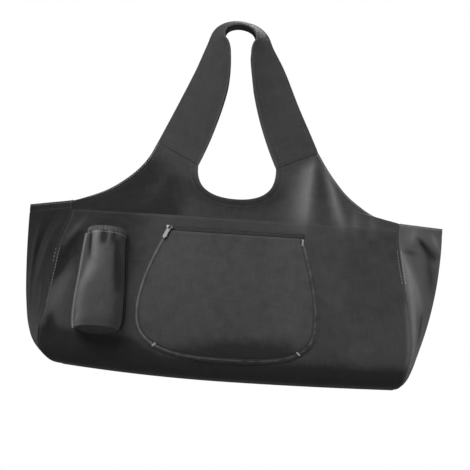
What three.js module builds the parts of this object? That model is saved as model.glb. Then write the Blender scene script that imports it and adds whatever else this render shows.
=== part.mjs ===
// Shoulder bag for a rolled exercise mat, in black woven cloth, shaped as it hangs from a shoulder.
// Front and back panels, two folding end gussets and a base make the body. Two yokes rise from its
// top seam to a strap that is folded along its crown and opens flat over the shoulder.
// A zipped pocket and an elasticated bottle pocket are sewn to the front.
// Millimetres, +Z up, +X to the right as seen from the front, which faces -Y.
// The origin is on the underside of the strap's top, where the shoulder carries it.
import * as THREE from "three";
import { mergeVertices } from "three/addons/utils/BufferGeometryUtils.js";

// Driving dimensions
const CLOTH = 1.6; // panel cloth
const STRAP_CLOTH = 1.8; // doubled cloth of the strap
const POCKET_CLOTH = 1.4;
const SEAM_GAP = 0.5; // between two pieces that are sewn edge to edge
const LAY_GAP = 0.7; // between a pocket and the panel that it is sewn onto
const FOLD_RADIUS = 2.6; // outer radius where cloth is folded double
const BODY_CENTRE_X = 18; // the body hangs a little to the right of the strap's top
const BASE_Z = -696;
const TOP_SEAM_HEIGHT = 314; // the yokes are sewn on at this height above the base
// A gusset's hem rises from its crease to the panel corners.
const CREASE_HEIGHT = { left: 316, right: 321 };
const CORNER_HEIGHT = { left: 330, right: 326 };
const END_LIFT = { left: 14, right: 5 }; // the base sags between its ends
const END_LIFT_FADE = 200; // height at which that sag has died out
const BASE_TURN = 30; // degrees, between the base and the cloth that rolls up from it
const PANEL_SQUARENESS = 3; // how flat a panel stays before it draws in to its corners
const SEAM_HOLD_POWER = 8; // how close to a corner seam the folds keep their height
const END_BOW_POWER = 6; // how close to its ends the base takes on the gussets' bow
const CREASE_HOLD = 0.1; // share of a gusset's wing beside its crease in which folds die out

// The body's sections: height above the base, then for each end the crease's distance from the body's
// centre and the angle that the gusset is spread to, half the gusset's width, and half the middle's depth.
const BODY_SECTIONS = [
  { height: 0, leftCrease: 322, leftSpread: 80, rightCrease: 330, rightSpread: 80, wing: 50, middle: 52 },
  { height: 5, leftCrease: 341, leftSpread: 80, rightCrease: 341, rightSpread: 80, wing: 70, middle: 70 },
  { height: 16, leftCrease: 358, leftSpread: 81, rightCrease: 351, rightSpread: 80, wing: 84, middle: 83 },
  { height: 36, leftCrease: 376, leftSpread: 79, rightCrease: 360, rightSpread: 79, wing: 94, middle: 92 },
  { height: 66, leftCrease: 388, leftSpread: 74, rightCrease: 369, rightSpread: 77, wing: 97, middle: 96 },
  { height: 128, leftCrease: 397, leftSpread: 62, rightCrease: 385, rightSpread: 65, wing: 97, middle: 92 },
  { height: 199, leftCrease: 401, leftSpread: 53, rightCrease: 397, rightSpread: 48, wing: 97, middle: 80 },
  { height: 266, leftCrease: 402, leftSpread: 39, rightCrease: 402, rightSpread: 27, wing: 92, middle: 62 },
  { height: 326, leftCrease: 401, leftSpread: 4, rightCrease: 402, rightSpread: 4, wing: 82, middle: 42 },
];

// The outer edge of strap and yoke: how far out it is on each side, and its drop below the strap's top.
const STRAP_EDGE = [
  { left: 0, right: 0, drop: 0 },
  { left: 32, right: 34, drop: 6 },
  { left: 51, right: 55, drop: 22 },
  { left: 63, right: 69, drop: 52 },
  { left: 85, right: 94, drop: 102 },
  { left: 121, right: 126, drop: 176 },
  { left: 155, right: 157, drop: 244 },
];
const YOKE_EDGE = [
  { left: 155, right: 157, drop: 244 },
  { left: 170, right: 174, drop: 272 },
  { left: 189, right: 191, drop: 296 },
  { left: 219, right: 213, drop: 322 },
  { left: 252, right: 239, drop: 343 },
  { left: 293, right: 268, drop: 360 },
];
const STRAP_JOINT = { wing: 88, spread: 11 }; // folded nearly shut where it is sewn to the yokes
const STRAP_TOP = { wing: 50, spread: 80 }; // open over the shoulder
// The arm opening's lower hem: its middle, and how far its curve runs on from there and from the strap.
const MOUTH = { drop: 346, halfDepth: 37, control: 62, shoulder: 34, flare: 3, bulge: 5 };
const SEAM_HOLD = 0.15; // share of the yoke beside its rim in which folds die out

// Folds of the cloth: a ridge stands out, a valley has a negative height.
const PANEL_FOLDS = [
  { fromX: -280, fromZ: -418, toX: -334, toZ: -522, width: 16, height: -5 },
  { fromX: -288, fromZ: -470, toX: -334, toZ: -596, width: 18, height: 5 },
  { fromX: -310, fromZ: -596, toX: -306, toZ: -644, width: 14, height: -5 },
  { fromX: 240, fromZ: -366, toX: 240, toZ: -404, width: 13, height: 4 },
  { fromX: 276, fromZ: -370, toX: 276, toZ: -402, width: 12, height: 3 },
  { fromX: 230, fromZ: -640, toX: 300, toZ: -610, width: 20, height: 3 },
];
const YOKE_FOLDS = [
  { fromX: 158, fromZ: -262, toX: 146, toZ: -392, width: 17, height: 7 },
  { fromX: 168, fromZ: -296, toX: 181, toZ: -385, width: 12, height: -5 },
  { fromX: 180, fromZ: -288, toX: 213, toZ: -385, width: 13, height: 6 },
  { fromX: -110, fromZ: -290, toX: -180, toZ: -385, width: 22, height: 3 },
];
// The same on a gusset, placed by the share of its wing from the crease and by height.
const GUSSET_FOLDS = [
  { fromWing: -0.85, fromHeight: 300, toWing: -0.3, toHeight: 130, width: 0.15, height: 6 },
  { fromWing: -0.35, fromHeight: 300, toWing: -0.16, toHeight: 225, width: 0.13, height: -5 },
  { fromWing: -0.72, fromHeight: 170, toWing: -0.72, toHeight: 70, width: 0.12, height: 4 },
  { fromWing: 0.7, fromHeight: 290, toWing: 0.4, toHeight: 120, width: 0.15, height: 6 },
];
const GUSSET_HALF_WIDTH = 97; // the wing's full width, which those shares are of

// The zipped pocket: a patch on the middle of the front, which widens in a curve to its rounded foot.
const POCKET = {
  topZ: -412,
  topHalf: 135,
  wideZ: -562,
  wideHalf: 176.5,
  bottomZ: -657,
  footHalf: 60, // where its foot has become straight
  sideCurve: 1.58, // power by which its sides curve
  footSquareness: 2.9, // superellipse power of the corners below its widest place
  lean: -7, // its widest place hangs a little to the left
  swell: 5,
};
const ZIP = { height: 8, thickness: 1.6, endInset: 3 };
const SLIDER = { width: 9, length: 13, height: 4 };
const PULL = { width: 7, length: 26, thickness: 1.6, hook: 5, gap: 0.3, lean: 24 };

// The bottle pocket: half its width and its depth in front of the panel, by height above its base.
const BOTTLE_X = -230;
const BOTTLE_BASE_Z = -608;
const BOTTLE_BASE_SAG = 10; // where its base is sewn to the panel, below the pocket's lower corners
const BOTTLE_FRONT_RISE = 10; // how much higher its front stands than its sides
const BOTTLE_HEIGHT = 187;
const BOTTLE_SECTIONS = [
  { height: 0, halfWidth: 42, depth: 56, shift: -2 },
  { height: 14, halfWidth: 45, depth: 62, shift: -1 },
  { height: 45, halfWidth: 45.5, depth: 65, shift: 0 },
  { height: 100, halfWidth: 42, depth: 65, shift: 2 },
  { height: 150, halfWidth: 38.5, depth: 62, shift: 3 },
  { height: 187, halfWidth: 36, depth: 57, shift: 4 },
];
const BASE_TIP = 0.04; // share of the turn left off each side of the base
const BOTTLE_ROUNDNESS = 2.5; // superellipse power of its plan
const GATHERS = { count: 7, height: 2.6, reach: 46 }; // pleats below the elastic
const GATHER_FADE = 1.5; // power by which the pleats fade downwards
const ELASTIC = { height: 8, thickness: 2.4, proud: 0.5 };

// Finishes: each piece makes a material of its own from one of these.
const PANEL_BLACK = { color: 0x3d3d3d, roughness: 0.85, metalness: 0 };
const POCKET_BLACK = { color: 0x474747, roughness: 0.85, metalness: 0 };
const STRAP_BLACK = { color: 0x393939, roughness: 0.85, metalness: 0 };
const ELASTIC_BLACK = { color: 0x2c2c2c, roughness: 0.9, metalness: 0 };
const ZIP_BLACK = { color: 0x1c1c1c, roughness: 0.5, metalness: 0 };
const SLIDER_METAL = { color: 0x8c8c8c, roughness: 0.35, metalness: 1 };

const bag = new THREE.Group();

// Values of every column of a table at a place along its key, on a smooth curve through the rows.
function readTable(rows, key, at) {
  const names = Object.keys(rows[0]);
  const places = rows.map((row) => row[key]);
  const values = rows.flatMap((row) => names.map((name) => row[name]));
  const read = new THREE.CubicInterpolant(places, values, names.length, new Float64Array(names.length));
  const found = read.evaluate(at);
  return Object.fromEntries(names.map((name, i) => [name, found[i]]));
}

const steps = (count, from = 0, to = 1) =>
  Array.from({ length: count + 1 }, (_, i) => THREE.MathUtils.lerp(from, to, i / count));
const smooth = (t) => THREE.MathUtils.smoothstep(t, 0, 1);

// A closed wall of cloth: the outer face at point(u, v), and the inner one a thickness behind it.
function wall(name, finish, thickness, us, vs, point) {
  const delta = 1e-4;
  const positions = [];
  for (const layer of [0, thickness])
    for (const v of vs)
      for (const u of us) {
        const along = point(Math.min(u + delta, 1), v).sub(point(Math.max(u - delta, 0), v));
        const up = point(u, Math.min(v + delta, 1)).sub(point(u, Math.max(v - delta, 0)));
        const outward = along.cross(up).normalize();
        positions.push(point(u, v).addScaledVector(outward, -layer));
      }
  const [columns, rows] = [us.length, vs.length];
  const at = (layer, i, j) => layer * columns * rows + j * columns + i;
  const last = columns - 1;
  const index = [];
  const quad = (a, b, c, d) => index.push(a, b, c, a, c, d);
  for (let j = 0; j + 1 < rows; j++)
    for (let i = 0; i + 1 < columns; i++) {
      quad(at(0, i, j), at(0, i + 1, j), at(0, i + 1, j + 1), at(0, i, j + 1));
      quad(at(1, i, j), at(1, i, j + 1), at(1, i + 1, j + 1), at(1, i + 1, j));
    }
  for (let i = 0; i + 1 < columns; i++) {
    quad(at(1, i, 0), at(1, i + 1, 0), at(0, i + 1, 0), at(0, i, 0));
    quad(at(0, i, rows - 1), at(0, i + 1, rows - 1), at(1, i + 1, rows - 1), at(1, i, rows - 1));
  }
  for (let j = 0; j + 1 < rows; j++) {
    quad(at(0, 0, j), at(0, 0, j + 1), at(1, 0, j + 1), at(1, 0, j));
    quad(at(1, last, j), at(1, last, j + 1), at(0, last, j + 1), at(0, last, j));
  }
  const geometry = new THREE.BufferGeometry().setFromPoints(positions).setIndex(index);
  addPiece(name, finish, geometry);
}

function addPiece(name, finish, geometry) {
  geometry.computeVertexNormals();
  const mesh = new THREE.Mesh(geometry, new THREE.MeshStandardMaterial(finish));
  mesh.name = name;
  bag.add(mesh);
}

const FOLD_START = 0.15; // a fold starts with some height already, and dies out at its far end

// Sum of the folds at a place: each is a rounded ridge along a line.
function foldHeight(folds, a, b, { columns, scale }) {
  let total = 0;
  for (const fold of folds) {
    const [fromA, fromB, toA, toB] = columns.map((name) => fold[name]);
    const [runA, runB] = [toA - fromA, (toB - fromB) * scale];
    const [gapA, gapB] = [a - fromA, (b - fromB) * scale];
    const share = THREE.MathUtils.clamp((gapA * runA + gapB * runB) / (runA ** 2 + runB ** 2), 0, 1);
    const distance = Math.hypot(gapA - share * runA, gapB - share * runB);
    const lengthwise = Math.sin(Math.PI * THREE.MathUtils.lerp(FOLD_START, 1, share));
    total += fold.height * lengthwise * Math.exp(-((distance / fold.width) ** 2));
  }
  return total;
}
// Which columns of a table of folds place them, and the scale of the second of each pair to the first.
const ON_PANEL = { columns: ["fromX", "fromZ", "toX", "toZ"], scale: 1 };
const ON_GUSSET = {
  columns: ["fromWing", "fromHeight", "toWing", "toHeight"],
  scale: 1 / GUSSET_HALF_WIDTH,
};

// A band folded along its crown: share runs from -1 at its front edge to 1 at its back edge.
function foldedBand(crown, inward, spreadDegrees, wing, share) {
  const spread = THREE.MathUtils.degToRad(spreadDegrees);
  const turn = Math.PI / 2 - spread;
  const run = Math.abs(share) * (FOLD_RADIUS * turn + wing);
  const angle = Math.min(run / FOLD_RADIUS, turn);
  const straight = run - angle * FOLD_RADIUS;
  const deep = FOLD_RADIUS * (1 - Math.cos(angle)) + straight * Math.cos(spread);
  const wide = FOLD_RADIUS * Math.sin(angle) + straight * Math.sin(spread);
  const point = crown.clone().addScaledVector(inward, deep);
  point.y += Math.sign(share) * wide;
  return point;
}

// The body

const atEnd = (pair, end) => (end < 0 ? pair.left : pair.right);
const endLift = (share, height) =>
  atEnd(END_LIFT, share) * share ** 2 * (1 - smooth(height / END_LIFT_FADE));

function gussetSection(end, height) {
  const row = readTable(BODY_SECTIONS, "height", height);
  const [crease, spread] = end < 0 ? [row.leftCrease, row.leftSpread] : [row.rightCrease, row.rightSpread];
  return { crease, spread, wing: row.wing };
}

function gussetPoint(end, share, height) {
  const { crease, spread, wing } = gussetSection(end, height);
  const crown = new THREE.Vector3(BODY_CENTRE_X + end * crease, 0, BASE_Z + height + endLift(end, height));
  return foldedBand(crown, new THREE.Vector3(-end, 0, 0), spread, wing, share);
}

function plainPanelPoint(side, share, height) {
  const corner = gussetPoint(share < 0 ? -1 : 1, side, height);
  const { middle } = readTable(BODY_SECTIONS, "height", height);
  const drawnIn = Math.abs(share) ** PANEL_SQUARENESS;
  const depth = THREE.MathUtils.lerp(middle, Math.abs(corner.y), drawnIn);
  const x = BODY_CENTRE_X + Math.abs(share) * (corner.x - BODY_CENTRE_X);
  return new THREE.Vector3(x, side * depth, BASE_Z + height + endLift(share, height));
}

function panelPoint(side, share, height) {
  const point = plainPanelPoint(side, share, height);
  if (side > 0) return point;
  const held = 1 - share ** SEAM_HOLD_POWER; // folds die out at the corner seams
  point.y -= held * foldHeight(PANEL_FOLDS, point.x, point.z, ON_PANEL);
  return point;
}

// The front panel's outer face at a place seen from the front.
function frontAt(x, z) {
  let height = z - BASE_Z;
  let share = 0;
  for (let pass = 0; pass < 4; pass++) {
    const corner = gussetPoint(x < BODY_CENTRE_X ? -1 : 1, -1, height);
    share = (x - BODY_CENTRE_X) / Math.abs(corner.x - BODY_CENTRE_X);
    height = z - BASE_Z - endLift(share, height);
  }
  return panelPoint(-1, share, height);
}

// How far two cloths stop short of the line where they meet at an angle, so that their walls clear.
const seamSetback = (turnDegrees) =>
  SEAM_GAP / 2 + CLOTH * Math.tan(THREE.MathUtils.degToRad(turnDegrees) / 2);

// A panel's share of its half width at a height, stopped short of the corner seams.
function setBackShare(share, height) {
  const { crease, spread } = gussetSection(share < 0 ? -1 : 1, height);
  return share * (1 - seamSetback(spread) / crease);
}

const PANEL_HEIGHTS = [0, 5, 14, 30, 55, 90, 130, 170, 210, 250, 285, TOP_SEAM_HEIGHT];

function heightsToShares(heights) {
  const top = heights.at(-1);
  return heights.map((height) => height / top);
}

const SEAM_COLUMNS = { front: 28, back: 16 }; // the same on both sides of the top seam

function makePanel(name, side) {
  const columns = steps(side < 0 ? SEAM_COLUMNS.front : SEAM_COLUMNS.back);
  wall(name, PANEL_BLACK, CLOTH, columns, heightsToShares(PANEL_HEIGHTS), (u, v) => {
    const share = THREE.MathUtils.lerp(-1, 1, side < 0 ? u : 1 - u);
    const height = THREE.MathUtils.lerp(0, TOP_SEAM_HEIGHT - SEAM_GAP / 2, v);
    return panelPoint(side, setBackShare(share, height), height);
  });
}
makePanel("front_panel", -1);
makePanel("back_panel", 1);

function makeGusset(name, end) {
  const shares = [-1, -0.8, -0.6, -0.4, -0.2, -0.045, 0, 0.045, 0.2, 0.4, 0.6, 0.8, 1];
  const columns = shares.map((share) => (share + 1) / 2);
  const [creaseHeight, cornerHeight] = [atEnd(CREASE_HEIGHT, end), atEnd(CORNER_HEIGHT, end)];
  const rows = heightsToShares([...PANEL_HEIGHTS, cornerHeight]);
  wall(name, PANEL_BLACK, CLOTH, columns, rows, (u, v) => {
    const share = THREE.MathUtils.lerp(-1, 1, end > 0 ? u : 1 - u);
    const hem = THREE.MathUtils.lerp(creaseHeight, cornerHeight, Math.abs(share));
    const height = THREE.MathUtils.lerp(0, hem, v);
    const { wing, spread } = gussetSection(end, height);
    const inset = 1 - seamSetback(spread) / wing;
    const point = gussetPoint(end, share * inset, height);
    const held = 1 - share ** SEAM_HOLD_POWER;
    const fold = held * foldHeight(GUSSET_FOLDS, share, height, ON_GUSSET);
    point.y += Math.sign(share) * fold * Math.min(1, Math.abs(share) / CREASE_HOLD);
    return point;
  });
}
makeGusset("gusset_left", -1);
makeGusset("gusset_right", 1);

// The base closes the lowest section: its rim lies just inside the panels' and gussets' lower edges.
function makeBase() {
  wall("base_panel", PANEL_BLACK, CLOTH, steps(16), steps(4), (u, v) => {
    const share = THREE.MathUtils.lerp(-1, 1, u);
    const front = plainPanelPoint(-1, share, 0);
    const across = THREE.MathUtils.lerp(1, -1, v);
    const end = gussetPoint(share < 0 ? -1 : 1, across, 0);
    const corner = gussetPoint(share < 0 ? -1 : 1, -1, 0);
    const bow = (end.x - corner.x) * Math.abs(share) ** END_BOW_POWER;
    const setback = 2 * seamSetback(BASE_TURN);
    const depth = Math.abs(front.y) - setback;
    const x = front.x + bow - setback * share;
    return new THREE.Vector3(x, depth * across, front.z);
  });
}
makeBase();

// Strap and yokes

// The strap leans to the left of the body as it rises.
const lean = (z) => (BODY_CENTRE_X * z) / (BASE_Z + TOP_SEAM_HEIGHT);
const edgePoint = (row, end) => new THREE.Vector3(end * atEnd(row, end), 0, STRAP_CLOTH - row.drop);
const leaning = (point) => point.setX(point.x + lean(point.z));

const strapCrown = new THREE.CatmullRomCurve3([
  ...STRAP_EDGE.slice(1).reverse().map((row) => edgePoint(row, -1)),
  ...STRAP_EDGE.map((row) => edgePoint(row, 1)),
]);

// A point of the strap: along runs over the shoulder from the left joint, share across its fold.
function strapPoint(along, share) {
  const tangent = strapCrown.getTangent(along);
  const inward = new THREE.Vector3(tangent.z, 0, -tangent.x);
  const opened = smooth(1 - Math.abs(2 * along - 1));
  const wing = THREE.MathUtils.lerp(STRAP_JOINT.wing, STRAP_TOP.wing, opened);
  const spread = THREE.MathUtils.lerp(STRAP_JOINT.spread, STRAP_TOP.spread, opened);
  return leaning(foldedBand(strapCrown.getPoint(along), inward, spread, wing, share));
}

function makeStrap() {
  const shares = [-1, -0.7, -0.4, -0.12, -0.04, 0, 0.04, 0.12, 0.4, 0.7, 1];
  const columns = steps(36);
  const rows = shares.map((share) => (share + 1) / 2);
  const setback = SEAM_GAP / strapCrown.getLength();
  wall("shoulder_strap", STRAP_BLACK, STRAP_CLOTH, columns, rows, (u, v) =>
    strapPoint(THREE.MathUtils.lerp(setback, 1 - setback, u), THREE.MathUtils.lerp(-1, 1, v)));
}
makeStrap();

const CORNER_OPENING = 4; // how late the two yokes part as they near the corner

// A yoke arm's outer edge, from the strap's joint to the corner above the gusset.
function yokeEdge(end, share) {
  const corner = gussetPoint(end, 1, atEnd(CORNER_HEIGHT, end));
  const joint = strapPoint(end < 0 ? 0 : 1, 0);
  const points = YOKE_EDGE.map((row) => leaning(edgePoint(row, end)));
  points[0].copy(joint);
  points.push(new THREE.Vector3(corner.x, 0, corner.z));
  const point = new THREE.CatmullRomCurve3(points).getPoint(share);
  point.y = THREE.MathUtils.lerp(CLOTH + SEAM_GAP / 2, corner.y, share ** CORNER_OPENING);
  return point;
}

// Half of the arm opening's hem, from the strap's joint down to the middle of the mouth.
function hemHalf(end) {
  const joint = strapPoint(end < 0 ? 0 : 1, 1);
  const mouthZ = STRAP_CLOTH - MOUTH.drop;
  const middle = new THREE.Vector3(lean(mouthZ), MOUTH.halfDepth, mouthZ);
  const down = joint.clone().add(new THREE.Vector3(end * MOUTH.flare, MOUTH.bulge, -MOUTH.shoulder));
  const across = middle.clone().add(new THREE.Vector3(end * MOUTH.control, 0, 0));
  return new THREE.CubicBezierCurve3(joint, down, across, middle);
}
const hems = { left: hemHalf(-1), right: hemHalf(1) };

function hemPoint(share) {
  return share < 0.5 ? hems.left.getPoint(share * 2) : hems.right.getPoint(2 - share * 2);
}

// The yoke's outer rim, from the left joint round the body's top seam to the right joint.
// Shares of the way round: the corner above the gusset, and the end of the top seam below it.
const YOKE_STOPS = { start: 0.0006, corner: 0.24, seam: 0.27 };

function yokeRim(side, along) {
  const { corner, seam } = YOKE_STOPS;
  const end = along < 0.5 ? -1 : 1;
  const fromEnd = Math.min(along, 1 - along);
  if (fromEnd <= corner) return yokeEdge(end, fromEnd / corner);
  const height = TOP_SEAM_HEIGHT + SEAM_GAP;
  const share = THREE.MathUtils.clamp(THREE.MathUtils.mapLinear(along, seam, 1 - seam, -1, 1), -1, 1);
  const onSeam = panelPoint(side, setBackShare(share, height), height);
  onSeam.y = Math.abs(onSeam.y);
  return fromEnd >= seam ? onSeam : yokeEdge(end, 1).lerp(onSeam, (fromEnd - corner) / (seam - corner));
}

function makeYoke(name, side, armColumns, rows) {
  const { start, corner, seam } = YOKE_STOPS;
  const leftArm = steps(armColumns, start, corner);
  const middle = steps(side < 0 ? SEAM_COLUMNS.front : SEAM_COLUMNS.back, seam, 1 - seam);
  const rightArm = steps(armColumns, 1 - corner, 1 - start);
  wall(name, PANEL_BLACK, CLOTH, [...leftArm, ...middle, ...rightArm], steps(rows), (u, v) => {
    const along = side < 0 ? u : 1 - u;
    const point = yokeRim(side, along).lerp(hemPoint(along), v);
    const held = smooth(Math.min(1, v / SEAM_HOLD)); // folds die out at the sewn rim
    point.y += side < 0 ? held * foldHeight(YOKE_FOLDS, point.x, point.z, ON_PANEL) : 0;
    point.y *= side;
    return point;
  });
}
makeYoke("yoke_front", -1, 11, 6);
makeYoke("yoke_back", 1, 8, 4);

// The zipped pocket

// The pocket's middle and half its width at a height, seen from the front.
function pocketSpan(z) {
  const { topZ, topHalf, wideZ, wideHalf, bottomZ, footHalf, sideCurve, footSquareness, lean } = POCKET;
  const from = (z - wideZ) / (z > wideZ ? topZ - wideZ : bottomZ - wideZ);
  const round = (1 - from ** footSquareness) ** (1 / footSquareness);
  const side = wideHalf - (wideHalf - topHalf) * from ** sideCurve;
  const half = z > wideZ ? side : Math.max(footHalf, wideHalf * round);
  return { middle: BODY_CENTRE_X + lean * (1 - from ** 2), half };
}

function makePocket() {
  const rows = [0, 0.012, 0.045, 0.1, 0.18, 0.28, 0.4, 0.52, 0.64, 0.76, 0.88, 1];
  wall("front_pocket", POCKET_BLACK, POCKET_CLOTH, steps(18), rows, (u, v) => {
    const share = THREE.MathUtils.lerp(-1, 1, u);
    const rowZ = THREE.MathUtils.lerp(POCKET.bottomZ, POCKET.topZ, v);
    const { middle, half } = pocketSpan(rowZ);
    const point = frontAt(middle + share * half, rowZ);
    const swell = POCKET.swell * Math.sqrt((1 - share ** 4) * (1 - (2 * v - 1) ** 4));
    point.y -= LAY_GAP + POCKET_CLOTH + swell;
    return point;
  });
}
makePocket();

function makeZip() {
  const zipEnd = POCKET.topHalf - ZIP.endInset;
  wall("pocket_zip", ZIP_BLACK, ZIP.thickness, steps(14), steps(1), (u, v) => {
    const x = BODY_CENTRE_X + THREE.MathUtils.lerp(-zipEnd, zipEnd, u);
    const point = frontAt(x, POCKET.topZ + LAY_GAP + v * ZIP.height);
    point.y -= LAY_GAP + ZIP.thickness;
    return point;
  });
}
makeZip();

const PLATE_ROUNDING = 0.35; // corner size as a share of a plate's width
const PROBE = 8; // distance over which the front's slope is read

// A rounded plate laid on the front, with its middle at (x, z), turned by an angle in degrees.
function frontPlate(name, finish, { width, length, thickness }, x, z, standOff, turn) {
  const outline = new THREE.Shape();
  const [halfWidth, halfLength, corner] = [width / 2, length / 2, width * PLATE_ROUNDING];
  outline.moveTo(-halfWidth + corner, -halfLength);
  outline.lineTo(halfWidth - corner, -halfLength);
  outline.quadraticCurveTo(halfWidth, -halfLength, halfWidth, -halfLength + corner);
  outline.lineTo(halfWidth, halfLength - corner);
  outline.quadraticCurveTo(halfWidth, halfLength, halfWidth - corner, halfLength);
  outline.lineTo(-halfWidth + corner, halfLength);
  outline.quadraticCurveTo(-halfWidth, halfLength, -halfWidth, halfLength - corner);
  outline.lineTo(-halfWidth, -halfLength + corner);
  outline.quadraticCurveTo(-halfWidth, -halfLength, -halfWidth + corner, -halfLength);
  const extrusion = { depth: thickness, bevelEnabled: false, curveSegments: 3 };
  const plate = new THREE.ExtrudeGeometry(outline, extrusion);
  plate.deleteAttribute("normal");
  plate.deleteAttribute("uv");
  const merged = mergeVertices(plate);
  const seat = frontAt(x, z);
  const rise = frontAt(x, z + PROBE).sub(frontAt(x, z - PROBE)).normalize();
  const right = frontAt(x + PROBE, z).sub(frontAt(x - PROBE, z)).normalize();
  const outward = right.clone().cross(rise).normalize();
  const basis = new THREE.Matrix4().makeBasis(right, outward.clone().cross(right), outward);
  merged.rotateZ(THREE.MathUtils.degToRad(turn)).applyMatrix4(basis);
  const place = seat.addScaledVector(outward, standOff);
  merged.translate(place.x, place.y, place.z);
  addPiece(name, finish, merged);
}

// The slider stands at the left end of the zip. Its pull is hooked over it and lies down to the left.
function makeSlider() {
  const sliderX = BODY_CENTRE_X - POCKET.topHalf + ZIP.endInset + SLIDER.length / 2;
  const sliderZ = POCKET.topZ + LAY_GAP + ZIP.height / 2;
  const onZip = 2 * LAY_GAP + ZIP.thickness;
  const sliderSize = { width: SLIDER.width, length: SLIDER.length, thickness: SLIDER.height };
  frontPlate("zip_slider", SLIDER_METAL, sliderSize, sliderX, sliderZ, onZip, 90);
  const fall = THREE.MathUtils.degToRad(PULL.lean);
  const reach = SLIDER.width / 2 + PULL.length / 2 - PULL.hook;
  const pullX = sliderX - reach * Math.sin(fall);
  const pullZ = sliderZ - reach * Math.cos(fall);
  const onSlider = onZip + SLIDER.height + PULL.gap;
  frontPlate("zip_pull", SLIDER_METAL, PULL, pullX, pullZ, onSlider, -PULL.lean);
}
makeSlider();

// The bottle pocket

// A point of its wall: turn runs from its left side to its right, height up from its base.
function bottlePoint(turn, height, grow = 0) {
  const row = readTable(BOTTLE_SECTIONS, "height", height);
  const angle = Math.PI * (1 - turn);
  const round = (value) => Math.sign(value) * Math.abs(value) ** (2 / BOTTLE_ROUNDNESS);
  const below = (BOTTLE_HEIGHT - ELASTIC.height - height) / GATHERS.reach;
  const drawn = below < 0 ? 1 : Math.max(0, 1 - below);
  const pleat = Math.sin(angle) * Math.cos(2 * GATHERS.count * angle);
  const gather = GATHERS.height * drawn ** GATHER_FADE * pleat;
  const reach = 1 + (gather + grow) / row.depth;
  const x = BOTTLE_X + row.shift + row.halfWidth * reach * round(Math.cos(angle));
  const point = frontAt(x, BOTTLE_BASE_Z + height + BOTTLE_FRONT_RISE * Math.sin(angle));
  point.y -= LAY_GAP + row.depth * reach * round(Math.sin(angle));
  return point;
}

function makeBottlePocket() {
  const turns = steps(36);
  const seam = BOTTLE_HEIGHT - ELASTIC.height;
  const heights = [0, 8, 24, 60, 100, 130, 150, 164, 175, seam];
  wall("bottle_pocket", POCKET_BLACK, POCKET_CLOTH, turns, heightsToShares(heights), (u, v) =>
    bottlePoint(u, v * (seam - SEAM_GAP)));
  wall("bottle_pocket_elastic", ELASTIC_BLACK, ELASTIC.thickness, turns, steps(2), (u, v) =>
    bottlePoint(u, THREE.MathUtils.lerp(seam, BOTTLE_HEIGHT, v), ELASTIC.proud));
  // The base fills the wall's lower end from the panel forward, without the sharp tips at its sides.
  const inset = POCKET_CLOTH + SEAM_GAP;
  const { halfWidth, shift } = BOTTLE_SECTIONS[0];
  const middle = BOTTLE_X + shift;
  wall("bottle_pocket_base", POCKET_BLACK, POCKET_CLOTH, steps(18), steps(4), (u, v) => {
    const rim = bottlePoint(THREE.MathUtils.lerp(BASE_TIP, 1 - BASE_TIP, u), 0);
    const x = middle + (rim.x - middle) * (1 - inset / halfWidth);
    const back = frontAt(x, BOTTLE_BASE_Z - BOTTLE_BASE_SAG * (1 - ((x - middle) / halfWidth) ** 2));
    const y = THREE.MathUtils.lerp(back.y - LAY_GAP, rim.y + inset, v);
    return new THREE.Vector3(x, y, THREE.MathUtils.lerp(back.z, rim.z, v) - SEAM_GAP);
  });
}
makeBottlePocket();

export default bag;
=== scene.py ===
# A wide black cloth shoulder bag for a rolled exercise mat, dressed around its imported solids.
# Sizes are in millimetres unless a comment says otherwise, and meshes are made in metres.
import math

import bpy
import numpy as np
from mathutils import Matrix, Vector


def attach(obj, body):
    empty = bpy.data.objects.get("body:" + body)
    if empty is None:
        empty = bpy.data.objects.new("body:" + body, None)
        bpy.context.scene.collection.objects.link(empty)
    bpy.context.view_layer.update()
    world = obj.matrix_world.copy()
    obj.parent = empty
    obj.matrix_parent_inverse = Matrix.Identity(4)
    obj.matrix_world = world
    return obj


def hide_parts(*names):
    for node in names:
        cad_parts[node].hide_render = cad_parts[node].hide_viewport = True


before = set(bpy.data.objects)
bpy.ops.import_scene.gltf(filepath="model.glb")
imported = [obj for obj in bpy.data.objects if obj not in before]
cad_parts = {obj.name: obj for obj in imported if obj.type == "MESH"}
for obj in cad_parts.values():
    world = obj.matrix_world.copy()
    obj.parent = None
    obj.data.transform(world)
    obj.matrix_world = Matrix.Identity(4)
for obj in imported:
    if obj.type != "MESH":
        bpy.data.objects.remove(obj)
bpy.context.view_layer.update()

scene = bpy.context.scene
MM = 0.001


# Camera: it stands in front of the bag, level with the middle of its body, with a long lens.
# It is rolled a little, because the bag hangs lower at its right end.
CAMERA_PLACE = (0.018, -3.685, -0.413)
CAMERA_ROLL = 3.8
CAMERA_LENS = 145.1


def add_object(name, data):
    added = bpy.data.objects.new(name, data)
    scene.collection.objects.link(added)
    return added


camera = add_object("camera", bpy.data.cameras.new("camera"))
camera.data.lens = CAMERA_LENS
facing_back = Matrix.Rotation(math.radians(90), 4, "X") @ Matrix.Rotation(math.radians(CAMERA_ROLL), 4, "Z")
camera.matrix_world = Matrix.Translation(CAMERA_PLACE) @ facing_back
scene.camera = camera


# Stage: a plain pale floor well below the hanging bag, a white surround, and soft studio light that
# comes mainly from the upper left, so that every fold has a light and a dark flank.
FLOOR_Z = -2.4
FLOOR_RADIUS = 9.0
FLOOR_SIDES = 96


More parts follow.
